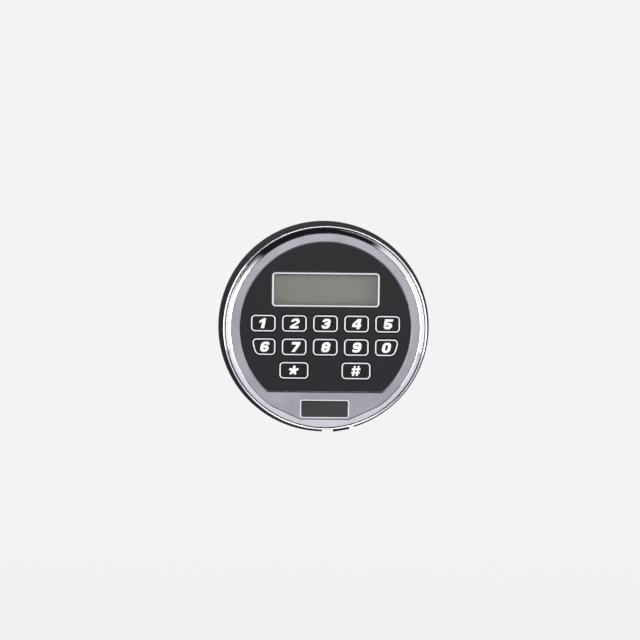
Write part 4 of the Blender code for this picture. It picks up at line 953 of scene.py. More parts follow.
class Surface(Enum):
    """The lock's finishes, each with the record's slot that it stands for."""

    # Zinc casting, stoved black enamel: half matt, with a slight peel from spraying.
    BLACK_PAINT = ("black_paint", Finish("stoved_black_enamel", "17171A", "111114", 0.36, ior=1.4, grain=0.9,
                                         grain_height=0.012))
    # Zinc casting, buffed and bright chromed: a mirror with a breath of haze.
    CHROME = ("polished_chrome", Plated("polished_chrome_plate", "F4F4F7", "EDEDF2", 0.03, 1.0, grain=6.0,
                                        grain_height=0.0004, gloss_play=0.01, hairline_shine=0.02))
    # Zinc casting, bead blasted and satin chromed: grey, with soft reflections.
    SATIN = ("satin_chrome", Plated("satin_chrome_plate", "B6B4BB", "AEACB3", 0.36, 1.0, grain=0.28,
                                    grain_height=0.005, gloss_play=0.04))
    # Polycarbonate sheet with an etched front: matt black, a little grey where light grazes it.
    PANEL = ("matt_black_panel", Dusted("etched_black_polycarbonate", "141219", "100E14", 0.5, ior=1.38,
                                        grain=0.35, grain_height=0.01))
    # Moulded key cap: blacker and a little glossier than the panel.
    KEY = ("matt_black_panel", Finish("moulded_black_key", "08080A", "050507", 0.44, ior=1.36, grain=0.35,
                                      grain_height=0.008))
    # Hot-stamped silver foil on a raised line. Round the port the same near-white finish is a painted
    # highlight for the rim's bright edge.
    SILVER_AND_HIGHLIGHT = ("silver_line", Finish("silver_foil_and_painted_highlight", "EDEDF3", "E3E3E9", 0.34, 0.2, grain=0.25,
                                    grain_height=0.004))
    # Pad-printed white ink: flat and opaque.
    INK = ("silver_line", Finish("white_pad_print", "FFFFFF", "F8F8F8", 0.5, ior=1.5, grain=0.3,
                                 grain_height=0.003))
    # Cast acrylic window: clear, glossy, with a faint grey cast.
    WINDOW = ("clear_window", Finish("clear_cast_acrylic", "8F9088", "85867E", 0.06, ior=1.49, alpha=0.16,
                                     gloss_play=0.02, grain=3.0, grain_height=0.001))
    # Polarising film of a reflective display: warm grey green, satin.
    LCD = ("display_glass", Finish("display_polariser_film", "92918A", "8A8982", 0.38, ior=1.5, grain=0.3,
                                   grain_height=0.003, cloud=30.0))
    # Moulded rubber: dark grey, dull, slightly pebbled.
    RUBBER = ("port_rubber", Finish("moulded_port_rubber", "2D2C30", "262529", 0.66, ior=1.52, grain=0.4,
                                    grain_height=0.03))
    # Moulded ABS with a fine spark-eroded texture.
    ABS = ("black_plastic", Finish("moulded_black_abs", "222225", "1B1B1E", 0.46, ior=1.54, grain=0.4,
                                   grain_height=0.02))
    # Cut foam rubber: black, open cells, no shine. The same finish makes the painted shade in the plate's gap
    # and the bead's groove.
    FOAM_AND_SHADE = ("gasket_foam", Celled("foam_rubber_and_painted_shade", "2E2E2F", "141415", 0.92, grain=0.4, grain_height=0.08))
    # Steel with bright zinc plating: grey with a cold tint and cloudy patches.
    STEEL = ("zinc_plated_steel", Plated("bright_zinc_plated_steel", "BCC0C6", "A2A7B0", 0.28, 1.0, grain=0.5,
                                         cloud=6.0, hairline_shine=0.12))
    # Drawn spring wire: darker steel, drawn smooth.
    SPRING = ("spring_steel", Finish("drawn_spring_wire", "A8A8AA", "98989B", 0.24, 1.0, grain=0.2))
    # Pressed bronze powder, oil filled: brown gold with fine pores.
    BRONZE = ("bush_bronze", Celled("sintered_bronze", "B98A4A", "7E5A2A", 0.4, 1.0, grain=0.25,
                                    grain_height=0.02, cell=0.3))
    # Nickel-plated spring strip: warm and bright.
    NICKEL = ("nickel_plate", Plated("bright_nickel_strip", "C9C4B8", "BBB6AA", 0.2, 1.0, grain=0.4))
    # Enamelled wire, wound in layers; drawn as 0.4 mm wire, with painted shade between turns.
    COPPER = ("copper_winding", Striped("enamelled_copper_winding", "B86A3A", "99522A", 0.34, 0.8, grain=0.2,
                                        grain_height=0.12))
    # Shrink-wrapped jacket with two plain colours.
    CELL = ("cell_jacket", Striped("printed_cell_jacket", "4C5566", "434B5B", 0.3, 0.3, grain=0.4, band=22.0,
                                   other="9A8A62", axis="X"))
    # Glass epoxy board under green lacquer.
    BOARD = ("board_green", Tracked("green_lacquered_board", "1D5A36", "174A2C", 0.32, ior=1.55, grain=0.5,
                                    grain_height=0.03))
    # Moulded silicone: dull grey, slightly waxy.
    SILICONE = ("grey_silicone", Finish("moulded_grey_silicone", "9C9EA0", "909294", 0.62, ior=1.41,
                                        grain=0.4))

    def material(self) -> Material:
        """The material, built on its first use."""
        finish = self.value[1]
        return bpy.data.materials.get(finish.name) or finish.make()

    def dress(self, piece: Object) -> Object:
        """Give a piece this finish.

        Args:
            piece: Object with a mesh.

        Returns:
            The same object.
        """
        piece.data.materials.clear()
        piece.data.materials.append(self.material())
        return piece


def install(piece: Object, surface: Surface, body: str, *nodes: str) -> Object:
    """Dress a finished piece, set it on its body and let it stand for its CAD nodes.

    Args:
        piece: Finished piece, already in place.
        surface: Its finish.
        body: CAD body that it moves with.
        nodes: CAD nodes that it replaces.

    Returns:
        The same piece.
    """
    surface.dress(piece)
    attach(piece, body)
    if nodes:
        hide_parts(*nodes)
    LOG.info("%s: %d faces on %s", piece.name, len(piece.data.polygons), body)
    return piece


# Sub-assemblies


@dataclass(frozen=True)
class Flange:
    """Base flange with its barrel, and the latch that slides in it."""

    radius: float = 50.0
    thickness: float = 4.4
    edge: float = 0.25
    rear_chamfer: float = 0.4
    bore: float = 7.8
    barrel: float = 11.0
    thread_core: float = 10.15
    pitch: float = 1.5
    barrel_end: float = -27.6
    rim_end: float = -29.6
    rim_inner: float = 8.5
    collar_end: float = -1.2
    core_start: float = -2.1
    end_chamfer: float = 0.8
    ridge_start: float = 1.2
    ridge_end: float = -1.6
    gasket_inner: float = 41.0
    gasket_outer: float = 45.0
    gasket_thickness: float = 1.2
    gap: float = 0.3
    latch_tilt: float = radians(10.1)
    channel_depth: float = 2.2
    slide_room: Box = (-17.3, 14.3, 9.6)
    channel: Box = (14.0, 44.0, 6.3)
    neck: Box = (43.0, 47.5, 4.5)
    notch: Box = (46.5, 51.0, 7.65, -1.3)
    lip_room: Box = (45.8, 47.0, 4.5)
    spring_room: Box = (-21.8, -12.2, 2.1)
    spring_room_depth: float = 3.52
    sockets: tuple[Point, ...] = ((-34.0, 0.0), (0.0, 34.0))
    socket_radius: float = 2.3
    socket_floor: float = 1.0
    stop_radius: float = 12.0
    stop_margin: float = radians(16.5)
    stop_overrun: float = 0.4
    peg_spread: float = 24.0
    peg_radius: float = 2.5
    peg_root: float = 0.9
    peg_tip: float = -4.0
    slide_rear: float = 0.3
    slide_front: float = 1.9
    slide_end: float = 14.0
    slide_half: float = 9.3
    bar_end: float = 43.7
    bar_half: float = 6.0
    tab_end: float = 50.45
    tab_sides: tuple[float, float] = (-3.7, 4.2)
    lip_span: tuple[float, float] = (49.0, 50.3)
    lip_sides: tuple[float, float] = (-3.6, 4.0)
    lip_front: float = 4.0
    tail: Box = (-13.8, -12.5, 1.8)
    tail_front: float = 3.22
    hole_centre: float = 3.0
    hole_radius: float = 6.3
    hole_turn: float = 2.2
    slot_radius: float = 4.9
    slot_turn: float = 1.9

    def latch_frame(self, points: Iterable[Point]) -> Outline:
        """Turn (along, across) points of the tilted latch into places on the face.

        Args:
            points: Points in the latch's own frame.

        Returns:
            The outline.
        """
        along = Vector((sin(self.latch_tilt), -cos(self.latch_tilt)))
        across = Vector((cos(self.latch_tilt), sin(self.latch_tilt)))
        return [tuple(along * u + across * v) for u, v in points]

    def latch_box(self, start: float, end: float, half: float, offset: float = 0.0) -> Outline:
        """Rectangle in the latch's own frame, between two distances along it."""
        return self.latch_frame([(start, offset - half), (end, offset - half), (end, offset + half),
                                 (start, offset + half)])

    def build(self) -> None:
        """Build and install the flange and the latch."""
        install(self.build_flange(), Surface.BLACK_PAINT, "base", "base_flange")
        ridge = thread("barrel_thread", self.thread_core, self.barrel, self.pitch,
                       self.barrel_end + self.ridge_start, self.ridge_end, Surface.BLACK_PAINT)
        install(ridge, Surface.BLACK_PAINT, "base")
        install(self.build_latch(), Surface.BLACK_PAINT, "latch", "release_latch")

    def build_flange(self) -> Object:
        """Flange with a rounded front edge, its barrel and the rooms in its rear.

        Returns:
            The piece.
        """
        floor = self.gasket_thickness + self.gap
        outer = self.gasket_outer + self.gap
        inner = self.gasket_inner - self.gap
        profile: list[Point] = [(self.bore, self.thickness)]
        for step in range(7):
            angle = pi / 2 * (1 - step / 6)
            profile.append((self.radius - self.edge + self.edge * cos(angle),
                            self.thickness - self.edge + self.edge * sin(angle)))
        profile += [(self.radius, self.rear_chamfer), (self.radius - self.rear_chamfer, 0.0), (outer, 0.0),
                    (outer, floor), (inner, floor), (inner, 0.0), (self.barrel, 0.0),
                    (self.barrel, self.collar_end), (self.thread_core, self.core_start),
                    (self.thread_core, self.barrel_end + self.end_chamfer),
                    (self.thread_core - self.end_chamfer, self.barrel_end),
                    (self.rim_inner, self.barrel_end), (self.rim_inner, self.rim_end),
                    (self.bore, self.rim_end)]
        flange = turned("flange_body", profile, RING_STATIONS)
        through, shallow, clear = self.thickness + 1.0, -0.3, -1.0
        rooms = ((self.slide_room, shallow, self.channel_depth), (self.channel, clear, self.channel_depth),
                 (self.neck, clear, self.channel_depth), (self.notch, clear, through),
                 (self.lip_room, clear, through), (self.spring_room, clear, self.spring_room_depth))
        tools = [self.tool(self.latch_box(*box), low, high) for box, low, high in rooms]
        tools += [self.tool(circle(self.socket_radius, HOLE_STEPS, spot), self.socket_floor, through)
                  for spot in self.sockets]
        window = arc(self.stop_radius, pi / 2 - self.stop_margin, pi + self.stop_margin, PIN_STEPS)
        tools.append(self.tool(window + [(0.0, 0.0)], self.barrel_end,
                               self.rim_end - self.stop_overrun))
        combine(flange, tools, "DIFFERENCE")
        radius, tip = self.peg_radius, self.peg_tip
        peg: list[Point] = [(0.0, self.peg_root), (radius, self.peg_root), (radius, tip + 0.5),
                            (radius - 0.15, tip + 0.15), (radius - 0.5, tip), (0.0, tip)]
        pegs = [turned("peg", peg, 40, (x, 0.0)) for x in (-self.peg_spread, self.peg_spread)]
        combine(flange, pegs, "UNION")
        return smooth(flange)

    def tool(self, outline: Outline, low: float, high: float) -> Object:
        """Plain shape to cut with, between two depths."""
        low, high = sorted((low, high))
        return layered("tool", [(outline, low), (outline, high)])

    def build_latch(self) -> Object:
        """Latch slide with its keyhole, its finger tab and the lip for its spring.

        Returns:
            The piece.
        """
        end, half, (low, high) = self.slide_end, self.slide_half, self.tab_sides
        corners = [(-end, half), (end, half), (end, self.bar_half), (self.bar_end, self.bar_half),
                   (self.bar_end, high), (self.tab_end, high)]
        corners += [(self.tab_end, low), (self.bar_end, low)] + [(u, -v) for u, v in reversed(corners[:4])]
        radii = [1.2, 1.2, 0.6, 0.8, 0.5, 0.9, 0.3, 0.5, 0.8, 0.6, 1.2, 1.2]
        outline = self.latch_frame(rounded(corners, radii, 4))
        hole = arc(self.hole_radius, -self.hole_turn, self.hole_turn, HOLE_STEPS, (self.hole_centre, 0.0))
        slot = arc(self.slot_radius, self.slot_turn, tau - self.slot_turn, HOLE_STEPS)[1:-1]
        keyhole = self.latch_frame(hole + slot)
        (start, end), (low, high) = self.lip_span, self.lip_sides
        lip = self.latch_frame(rounded([(start, low), (end, low), (end, high), (start, high)], [0.3] * 4, 4))
        tail = self.latch_box(*self.tail)
        rear, front = self.slide_rear, self.slide_front
        return layered("latch_slide", [(outline, rear), (outline, front)],
                       [[(keyhole, rear), (keyhole, front)]],
                       high=[[(lip, front), (lip, self.lip_front)], [(tail, front), (tail, self.tail_front)]])


@dataclass(frozen=True)
class DoorFittings:
    """What seals and clamps the flange to the door, with the latch's spring and the spindle's bush."""

    gasket_inner: float = 41.0
    gasket_outer: float = 45.0
    gasket_thickness: float = 1.2
    gasket_soft: float = 0.25
    gasket_middle: float = radians(-79.9)
    gasket_opening: float = radians(22)
    spring_radius: float = 1.3
    spring_wire: float = 0.16
    spring_length: float = 7.2
    spring_start: float = -21.88
    spring_out: float = 1.76
    spring_pushed: float = 0.6
    spring_turns: float = 8.0
    bush_bore: float = 6.3
    bush_radius: float = 7.5
    bush_front: float = -0.3
    bush_rear: float = -27.3
    bush_bevel: float = 0.3
    washer_bore: float = 11.3
    washer_band: float = 13.8
    washer_tip: float = 15.5
    washer_front: float = -18.5
    washer_rear: float = -19.3
    washer_soft: float = 0.1
    teeth: int = 18
    tooth_root: float = 0.95
    tooth_tip: float = 0.7
    tooth_start: float = 13.3
    tooth_twist: float = radians(18)
    nut_flats: float = 27.0
    nut_front: float = -19.8
    nut_rear: float = -25.8

    def gasket_outline(self, grow: float = 0.0) -> Outline:
        """Open ring that leaves room for the latch, grown."""
        outer, inner = self.gasket_outer + grow, self.gasket_inner - grow
        half = self.gasket_opening / 2 - grow / self.gasket_outer
        start, end = self.gasket_middle + half, self.gasket_middle - half + tau
        return arc(outer, start, end, GASKET_STEPS) + arc(inner, end, start, GASKET_STEPS)

    def build(self) -> None:
        """Build and install the gasket, the spring, the bush, the washer and the nut."""
        wall = both_ends(self.gasket_outline, 0.0, self.gasket_thickness, self.gasket_soft)
        install(layered("gasket_ring", wall), Surface.FOAM_AND_SHADE, "base", "base_gasket")
        tilt = Flange().latch_tilt
        along = Vector((sin(tilt), -cos(tilt))) * (self.spring_start + self.spring_wire)
        anchor = place(along.x, along.y, self.spring_out)
        coil = wire_coil("latch_coil", self.spring_radius, self.spring_wire, self.spring_length,
                         self.spring_turns, Surface.SPRING, (0.0, pi - tilt, 0.0), anchor)
        install(coil, Surface.SPRING, "base", "latch_spring")
        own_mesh(coil)
        bevel = self.bush_bevel
        sleeve: list[Point] = [
            (self.bush_bore + bevel, self.bush_front), (self.bush_radius - bevel, self.bush_front),
            (self.bush_radius, self.bush_front - bevel), (self.bush_radius, self.bush_rear + bevel),
            (self.bush_radius - bevel, self.bush_rear), (self.bush_bore + bevel, self.bush_rear),
            (self.bush_bore, self.bush_rear + bevel), (self.bush_bore, self.bush_front - bevel)]
        install(turned("bush_sleeve", sleeve, SECTION_POINTS), Surface.BRONZE, "base", "spindle_bush")
        outer, inner = (both_ends(lambda g, wide=radius: circle(wide + g, WASHER_STEPS), self.washer_rear,
                                  self.washer_front, self.washer_soft, inward)
                        for radius, inward in ((self.washer_band, True), (self.washer_bore, False)))
        band = layered("washer_band", outer, [inner])
        install(band, Surface.STEEL, "base", "toothed_washer")
        teeth = ring_of_teeth("washer_teeth", self.tooth_start, self.teeth, self.tooth_root, self.tooth_tip,
                              self.washer_tip - self.tooth_start, self.tooth_twist, Surface.STEEL,
                              place(0.0, 0.0, (self.washer_front + self.washer_rear) / 2))
        install(teeth, Surface.STEEL, "base")
        install(hexagon_nut("barrel_nut", self.nut_flats, self.washer_bore, self.nut_rear, self.nut_front),
                Surface.STEEL, "base", "mounting_nut")


@dataclass(frozen=True)
class Drive:
    """Spindle and what it turns behind the door: stop washer, cam, spring washer and nut."""

    radius: float = 6.0
    groove: float = 4.6
    groove_rear: float = 0.0
    groove_front: float = 2.2
    plate_width: float = 34.0
    plate_height: float = 17.0
    plate_corner: float = 4.0
    plate_rear: float = 7.7
    plate_front: float = 10.2
    screw_spread: float = 12.5
    square: float = 8.0
    square_front: float = -27.6
    square_rear: float = -32.9
    screw_bore: float = 1.4
    stud: float = 3.0
    stud_core: float = 2.55
    stud_pitch: float = 1.0
    end: float = -41.2
    ridge_gaps: tuple[float, float] = (0.6, 0.5)
    clearance: float = 0.3
    bevel: float = 0.25
    stop_radius: float = 8.2
    stop_tab: float = 11.0
    stop_tab_half: float = radians(15)
    stop_front: float = -27.9
    stop_rear: float = -29.6
    stop_soft: float = 0.2
    cam_eye: float = 11.0
    cam_reach: float = 45.0
    cam_half: float = 8.0
    cam_corner: float = 4.0
    cam_front: float = -29.9
    cam_rear: float = -32.9
    cam_soft: float = 0.5
    washer_inner: float = 3.3
    washer_outer: float = 5.6
    washer_thickness: float = 0.9
    washer_rise: float = 0.3
    washer_opening: float = radians(16)
    washer_middle: float = -33.95
    nut_flats: float = 10.0
    nut_bore: float = 3.2
    nut_front: float = -34.7
    nut_rear: float = -39.7

    def ring(self, radius: float) -> Outline:
        """Round section with as many points as the square one."""
        return circle(radius, SECTION_POINTS)

    def square_outline(self, grow: float = 0.0) -> Outline:
        """Square section of the spindle, or the hole that fits it."""
        return regular_polygon(self.square + 2 * grow, 4, SECTION_POINTS)

    def build(self) -> None:
        """Build and install the spindle and everything on its square and its stud."""
        install(self.build_spindle(), Surface.STEEL, "knob", "spindle")
        rear_gap, front_gap = self.ridge_gaps
        ridge = thread("stud_thread", self.stud_core, self.stud, self.stud_pitch, self.end + rear_gap,
                       self.square_rear - front_gap, Surface.STEEL)
        install(ridge, Surface.STEEL, "knob")
        hole = self.square_outline(self.clearance)
        for name, node, outline, rear, front, edge in (
                ("stop_disc", "stop_washer", self.stop_outline, self.stop_rear, self.stop_front,
                 self.stop_soft),
                ("cam_arm", "locking_cam", self.cam_outline, self.cam_rear, self.cam_front, self.cam_soft)):
            install(layered(name, both_ends(outline, rear, front, edge), [[(hole, rear), (hole, front)]]),
                    Surface.STEEL, "knob", node)
        washer = split_washer("split_ring", self.washer_inner, self.washer_outer, self.washer_thickness,
                              self.washer_rise, self.washer_opening, Surface.SPRING,
                              place(0.0, 0.0, self.washer_middle))
        install(washer, Surface.SPRING, "knob", "spring_washer")
        install(hexagon_nut("cam_end_nut", self.nut_flats, self.nut_bore, self.nut_rear, self.nut_front),
                Surface.STEEL, "knob", "cam_nut")

    def build_spindle(self) -> Object:
        """Plate that carries the head, round shaft with the latch's groove, square and stud.

        Returns:
            The piece.
        """
        bevel = self.bevel
        shaft: Stack = [
            (self.ring(self.radius), self.plate_rear), (self.ring(self.radius), self.groove_front + bevel),
            (self.ring(self.radius - bevel), self.groove_front), (self.ring(self.groove), self.groove_front),
            (self.ring(self.groove), self.groove_rear), (self.ring(self.radius - bevel), self.groove_rear),
            (self.ring(self.radius), self.groove_rear - bevel),
            (self.ring(self.radius), self.square_front + bevel),
            (self.ring(self.radius - bevel), self.square_front),
            (self.square_outline(), self.square_front), (self.square_outline(), self.square_rear + bevel),
            (self.square_outline(-bevel), self.square_rear), (self.ring(self.stud_core), self.square_rear),
            (self.ring(self.stud_core), self.end + bevel * 2), (self.ring(self.stud_core - bevel), self.end)]

        def plate(grow: float = 0.0) -> Outline:
            """Outline of the plate."""
            return rounded_rectangle(self.plate_width + 2 * grow, self.plate_height + 2 * grow,
                                     self.plate_corner + grow)

        holes = []
        for x in (-self.screw_spread, self.screw_spread):
            bore = circle(self.screw_bore, HOLE_STEPS, (x, 0.0))
            holes.append([(bore, self.plate_rear), (bore, self.plate_front)])
        return layered("spindle_shaft", both_ends(plate, self.plate_rear, self.plate_front, bevel), holes,
                       low=[shaft])

    def stop_outline(self, grow: float = 0.0) -> Outline:
        """Disc with the tab that meets the ends of the quarter turn, grown."""
        body, tab = self.stop_radius + grow, self.stop_tab + grow
        half = self.stop_tab_half + grow / tab
        return arc(body, half - pi, pi - half, 90) + arc(tab, pi - half, pi + half, 10)

    def cam_outline(self, grow: float = 0.0) -> Outline:
        """Round eye drawn out to a blunt tip with rounded corners, grown."""
        eye, reach, half = self.cam_eye + grow, self.cam_reach + grow, self.cam_half + grow
        corner = self.cam_corner + grow
        touch = atan2(half, reach) + acos(eye / hypot(reach, half))
        start = (eye * cos(touch), eye * sin(touch))
        tip = rounded([(start[0], -start[1]), (reach, -half), (reach, half), start],
                      [0.0, corner, corner, 0.0])
        return arc(eye, touch, tau - touch, EYE_STEPS)[1:-1] + tip


@dataclass(frozen=True)
class Screw:
    """One kind of pan head screw: the sizes of its head and its thread, and the depth of its tip."""

    head: float
    height: float
    root: float
    crest: float
    tip: float
    pitch: float = 0.9


@dataclass(frozen=True)
class Fasteners:
    """Screws of the head, and the plunger with its spring."""

    head_circle: float = 37.6
    head_angles: tuple[float, ...] = (25.0, 155.0, 215.0, 325.0)
    rear: float = 5.15
    ridge_gap: float = 0.2
    head_screw: Screw = Screw(2.7, 1.4, 0.95, 1.3, 13.65)
    spindle_screw: Screw = Screw(2.1, 1.2, 0.8, 1.1, 10.05)
    plunger_at: Point = (-34.0, 0.0)
    plunger_radius: float = 2.0
    plunger_tip: float = 5.2
    plunger_end: float = 13.0
    plunger_round: float = 0.4
    spring_radius: float = 1.4
    spring_wire: float = 0.17
    spring_length: float = 2.38
    spring_turns: float = 4.0
    spring_start: float = 13.31

    def head_spots(self) -> list[Point]:
        """Places of the head screws on the face."""
        angles = [radians(angle) for angle in self.head_angles]
        return [(self.head_circle * cos(angle), self.head_circle * sin(angle)) for angle in angles]

    def build(self) -> None:
        """Build and install the screws, the plunger and the plunger's spring."""
        for number, spot in enumerate(self.head_spots(), 1):
            self.fasten(f"head_screw_{number}", self.head_screw, spot)
        for number, x in enumerate((-Drive().screw_spread, Drive().screw_spread), 1):
            self.fasten(f"spindle_screw_{number}", self.spindle_screw, (x, 0.0))
        radius, tip, end, soft = self.plunger_radius, self.plunger_tip, self.plunger_end, self.plunger_round
        shoulder = 0.3 * soft
        side: list[Point] = [(0.0, tip), (radius - soft, tip), (radius - shoulder, tip + shoulder),
                             (radius, tip + soft)]
        side += [(distance, tip + end - out) for distance, out in reversed(side)]
        pin = turned("plunger_pin", side, PIN_STEPS, self.plunger_at)
        install(pin, Surface.STEEL, "plunger", "blocking_plunger")
        coil = wire_coil("plunger_coil", self.spring_radius, self.spring_wire, self.spring_length,
                         self.spring_turns, Surface.SPRING, (pi / 2, 0.0, 0.0),
                         place(*self.plunger_at, self.spring_start + self.spring_wire))
        install(coil, Surface.SPRING, "knob", "plunger_spring")

    def fasten(self, node: str, kind: Screw, spot: Point) -> None:
        """Build and install one screw with its thread.

        Args:
            node: CAD node that it stands for.
            kind: Its sizes.
            spot: Place of its axis on the face.
        """
        screw = pan_head_screw(node + "_body", kind.head, kind.height, kind.root, self.rear, kind.tip, spot)
        install(screw, Surface.STEEL, "knob", node)
        ridge = thread(node + "_thread", kind.root, kind.crest, kind.pitch,
                       self.rear + kind.height + self.ridge_gap, kind.tip - kind.root, Surface.STEEL, spot)
        install(ridge, Surface.STEEL, "knob")


@dataclass(frozen=True)
class Head:
    """Chromed ring, satin front plate and black panel of the head."""

    radius: float = 48.0
    inner: float = 45.6
    rear: float = 5.0
    rear_chamfer: float = 0.6
    front: float = 25.8
    shoulder: float = 23.1
    bead_width: float = 0.8
    bead_base: float = 22.4
    bead_height: float = 0.45
    groove_width: float = 0.45
    groove_floor: float = 22.1
    groove_lean: float = 0.1
    groove_shade_half: float = 0.2
    groove_shade_bite: float = 0.05
    crown: float = 1.15
    crown_steps: int = 16
    ledge_front: float = 21.8
    ledge_rear: float = 20.0
    ledge_inner: float = 41.4
    plate_radius: float = 44.35
    plate_gap: float = 0.22
    plate_rear: float = 22.1
    plate_front: float = 25.3
    panel_radius: float = 40.15
    panel_chord: float = 29.8
    panel_rear: float = 23.4
    panel_front: float = 24.8
    bevel_width: float = 0.35
    bevel_depth: float = 0.35
    bevel_soft: float = 0.08
    facet_steps: int = 24
    gap: float = 0.3
    facets: tuple[float, ...] = (-124.0, -105.0, -75.0, -56.0)
    seat_mark: float = 0.4
    seat_lip: float = 0.05
    gap_shade_bite: float = 0.06
    gap_shade_depth: float = 0.7
    gap_shade_root: float = 0.05
    gap_shade_inner: float = -0.04
    soft: float = 0.06
    panel_soft: float = 0.2
    boss_radius: float = 3.3
    boss_rear: float = 7.7
    boss_bore: float = 1.6
    boss_floor: float = 16.2

    def plate_outline(self, grow: float = 0.0) -> Outline:
        """Round outline with three straight edges at the bottom, grown."""
        radius = self.plate_radius + grow
        first, last = radians(self.facets[0]), radians(self.facets[-1])
        outline = arc(radius, last, tau + first, RING_STATIONS * 3 // 4)
        corners = [Vector((radius * cos(radians(a)), radius * sin(radians(a)))) for a in self.facets]
        for start, end in zip(corners, corners[1:]):
            outline += [tuple(start.lerp(end, step / self.facet_steps))
                        for step in range(1, self.facet_steps + 1)]
        return outline[:-1]

    def panel_outline(self, grow: float = 0.0) -> Outline:
        """Circle with a flat bottom, grown."""
        radius = self.panel_radius + grow
        angle = asin((self.panel_chord + grow) / radius)
        return arc(radius, -angle, pi + angle, RING_STATIONS * 3 // 4)

    def seat_radius(self, station: int) -> float:
        """Distance from the axis to the front plate's seat, at a step round the axis."""
        angle = 360.0 * station / RING_STATIONS
        angle = angle - 360.0 if angle > 180.0 else angle
        radius = self.plate_radius + self.plate_gap
        for start, end in zip(self.facets, self.facets[1:]):
            if start <= angle <= end:
                half = radians((end - start) / 2)
                return radius * cos(half) / cos(radians(angle - (start + end) / 2))
        return radius

    def build(self) -> None:
        """Build and install the ring, the painted shade in the plate's gap and in the groove, the plate and
        the panel.
        """
        install(self.build_ring(), Surface.CHROME, "knob", "chrome_ring")
        # Dark ring deep in the gap round the plate: painted shade.
        install(self.build_gap_shade(), Surface.FOAM_AND_SHADE, "knob")
        # Dark ring in the bead's groove: painted shade.
        install(self.build_groove_painted_shade(), Surface.FOAM_AND_SHADE, "knob")
        install(self.build_plate(), Surface.SATIN, "knob", "front_plate")
        install(self.build_panel(), Surface.PANEL, "knob", "face_panel")

    def build_ring(self) -> Object:
        """Side wall, bead, fine groove, crowned chamfer and the ledge under the plate.

        Returns:
            The piece.
        """
        bead_inner = self.radius - self.bead_width
        groove_inner = bead_inner - self.groove_width
        floor = self.groove_floor
        rise = self.front - self.shoulder
        profile: list[Point] = [(self.inner, self.rear), (self.radius - self.rear_chamfer, self.rear)]
        for step in range(1, 5):
            angle = pi / 8 * step
            profile.append((self.radius - self.rear_chamfer * (1 - sin(angle)),
                            self.rear + self.rear_chamfer * (1 - cos(angle))))
        for step in range(11):
            angle = pi * step / 10
            profile.append((bead_inner + self.bead_width / 2 * (1 + cos(angle)),
                            self.bead_base + self.bead_height * sin(angle)))
        profile += [(bead_inner, floor), (groove_inner, floor)]
        for step in range(self.crown_steps + 1):
            profile.append((groove_inner - step / self.crown_steps,
                            self.shoulder + rise * (1 - (1 - step / self.crown_steps) ** self.crown)))
        profile += [(self.seat_mark, self.front - self.seat_lip), (self.seat_mark, self.ledge_front),
                    (self.ledge_inner, self.ledge_front), (self.ledge_inner, self.ledge_rear),
                    (self.inner, self.ledge_rear)]

        def shape(radius: float, out: float, station: int) -> Point:
            """Run the chamfer up to the seat, fit the seat to the plate and lean the groove's floor up."""
            seat = self.seat_radius(station)
            if out == floor:
                side = 1.0 if radius == groove_inner else -1.0
                return radius, out + side * self.groove_lean * sin(tau * station / RING_STATIONS)
            if radius == self.seat_mark:
                return seat, out
            if radius <= groove_inner and out > floor:
                return groove_inner - (groove_inner - radius) * (groove_inner - seat - self.seat_lip), out
            return radius, out

        return lofted("chrome_rim", profile, shape, RING_STATIONS)

    def build_groove_painted_shade(self) -> Object:
        """Painted shade: a dark ring in the fine groove inside the bead, for the groove's dark reflection.

        Returns:
            The piece.
        """
        outer = self.radius - self.bead_width
        inner = outer - self.groove_width
        low, high = self.groove_floor - self.groove_shade_half, self.groove_floor + self.groove_shade_half
        return turned("groove_painted_shade", [(inner - self.groove_shade_bite, low), (outer + self.groove_shade_bite, low),
                                      (outer + self.groove_shade_bite, high), (inner - self.groove_shade_bite, high)],
                      RING_STATIONS)

    def build_gap_shade(self) -> Object:
        """Painted shade: a dark ring deep in the gap round the front plate.

        Returns:
            The piece.
        """
        low, high = self.ledge_front - self.gap_shade_root, self.plate_front - self.gap_shade_depth
        outer = self.plate_outline(self.plate_gap + self.gap_shade_bite)
        inner = self.plate_outline(self.gap_shade_inner)
        return layered("plate_gap_shade", [(outer, low), (outer, high)], [[(inner, low), (inner, high)]])

    def build_plate(self) -> Object:
        """Satin plate with its panel recess, its openings and its port recess.

        Returns:
            The piece.
        """
        keypad, display, port = Keypad(), Display(), Port()
        web = self.panel_rear - self.gap
        wall, rim, drop = self.gap, self.gap + self.bevel_width, self.bevel_depth
        recess: Stack = [(self.panel_outline(rim), self.plate_front),
                         (self.panel_outline(wall + self.bevel_soft), self.plate_front - drop),
                         (self.panel_outline(wall), self.plate_front - drop - self.bevel_soft),
                         (self.panel_outline(wall), web)]
        openings = []
        for key in keypad.keys():
            shape = keypad.outline(key, keypad.lip + self.gap)
            openings.append([(shape, self.plate_rear), (shape, web)])
        pane = display.window_outline(self.gap)
        openings.append([(pane, self.plate_rear), (pane, web)])
        hole = rounded_rectangle(port.hole_width, port.hole_height, port.hole_corner, port.centre())
        low = port.outline(port.clearance)
        port_wall = [(hole, self.plate_rear), (hole, port.floor), (low, port.floor), (low, self.plate_front)]
        outer = [(self.plate_outline(), self.plate_rear)] + soft_edge(
            self.plate_outline, self.plate_rear, self.plate_front, self.soft, steps=5)
        bosses = []
        for spot in Fasteners().head_spots():
            boss, bore = (circle(radius, HOLE_STEPS, spot) for radius in (self.boss_radius, self.boss_bore))
            bosses.append([(boss, self.plate_rear), (boss, self.boss_rear), (bore, self.boss_rear),
                           (bore, self.boss_floor)])
        return layered("satin_plate", outer, [port_wall], bosses, recesses=[(recess, openings)],
                       sharp=radians(20))

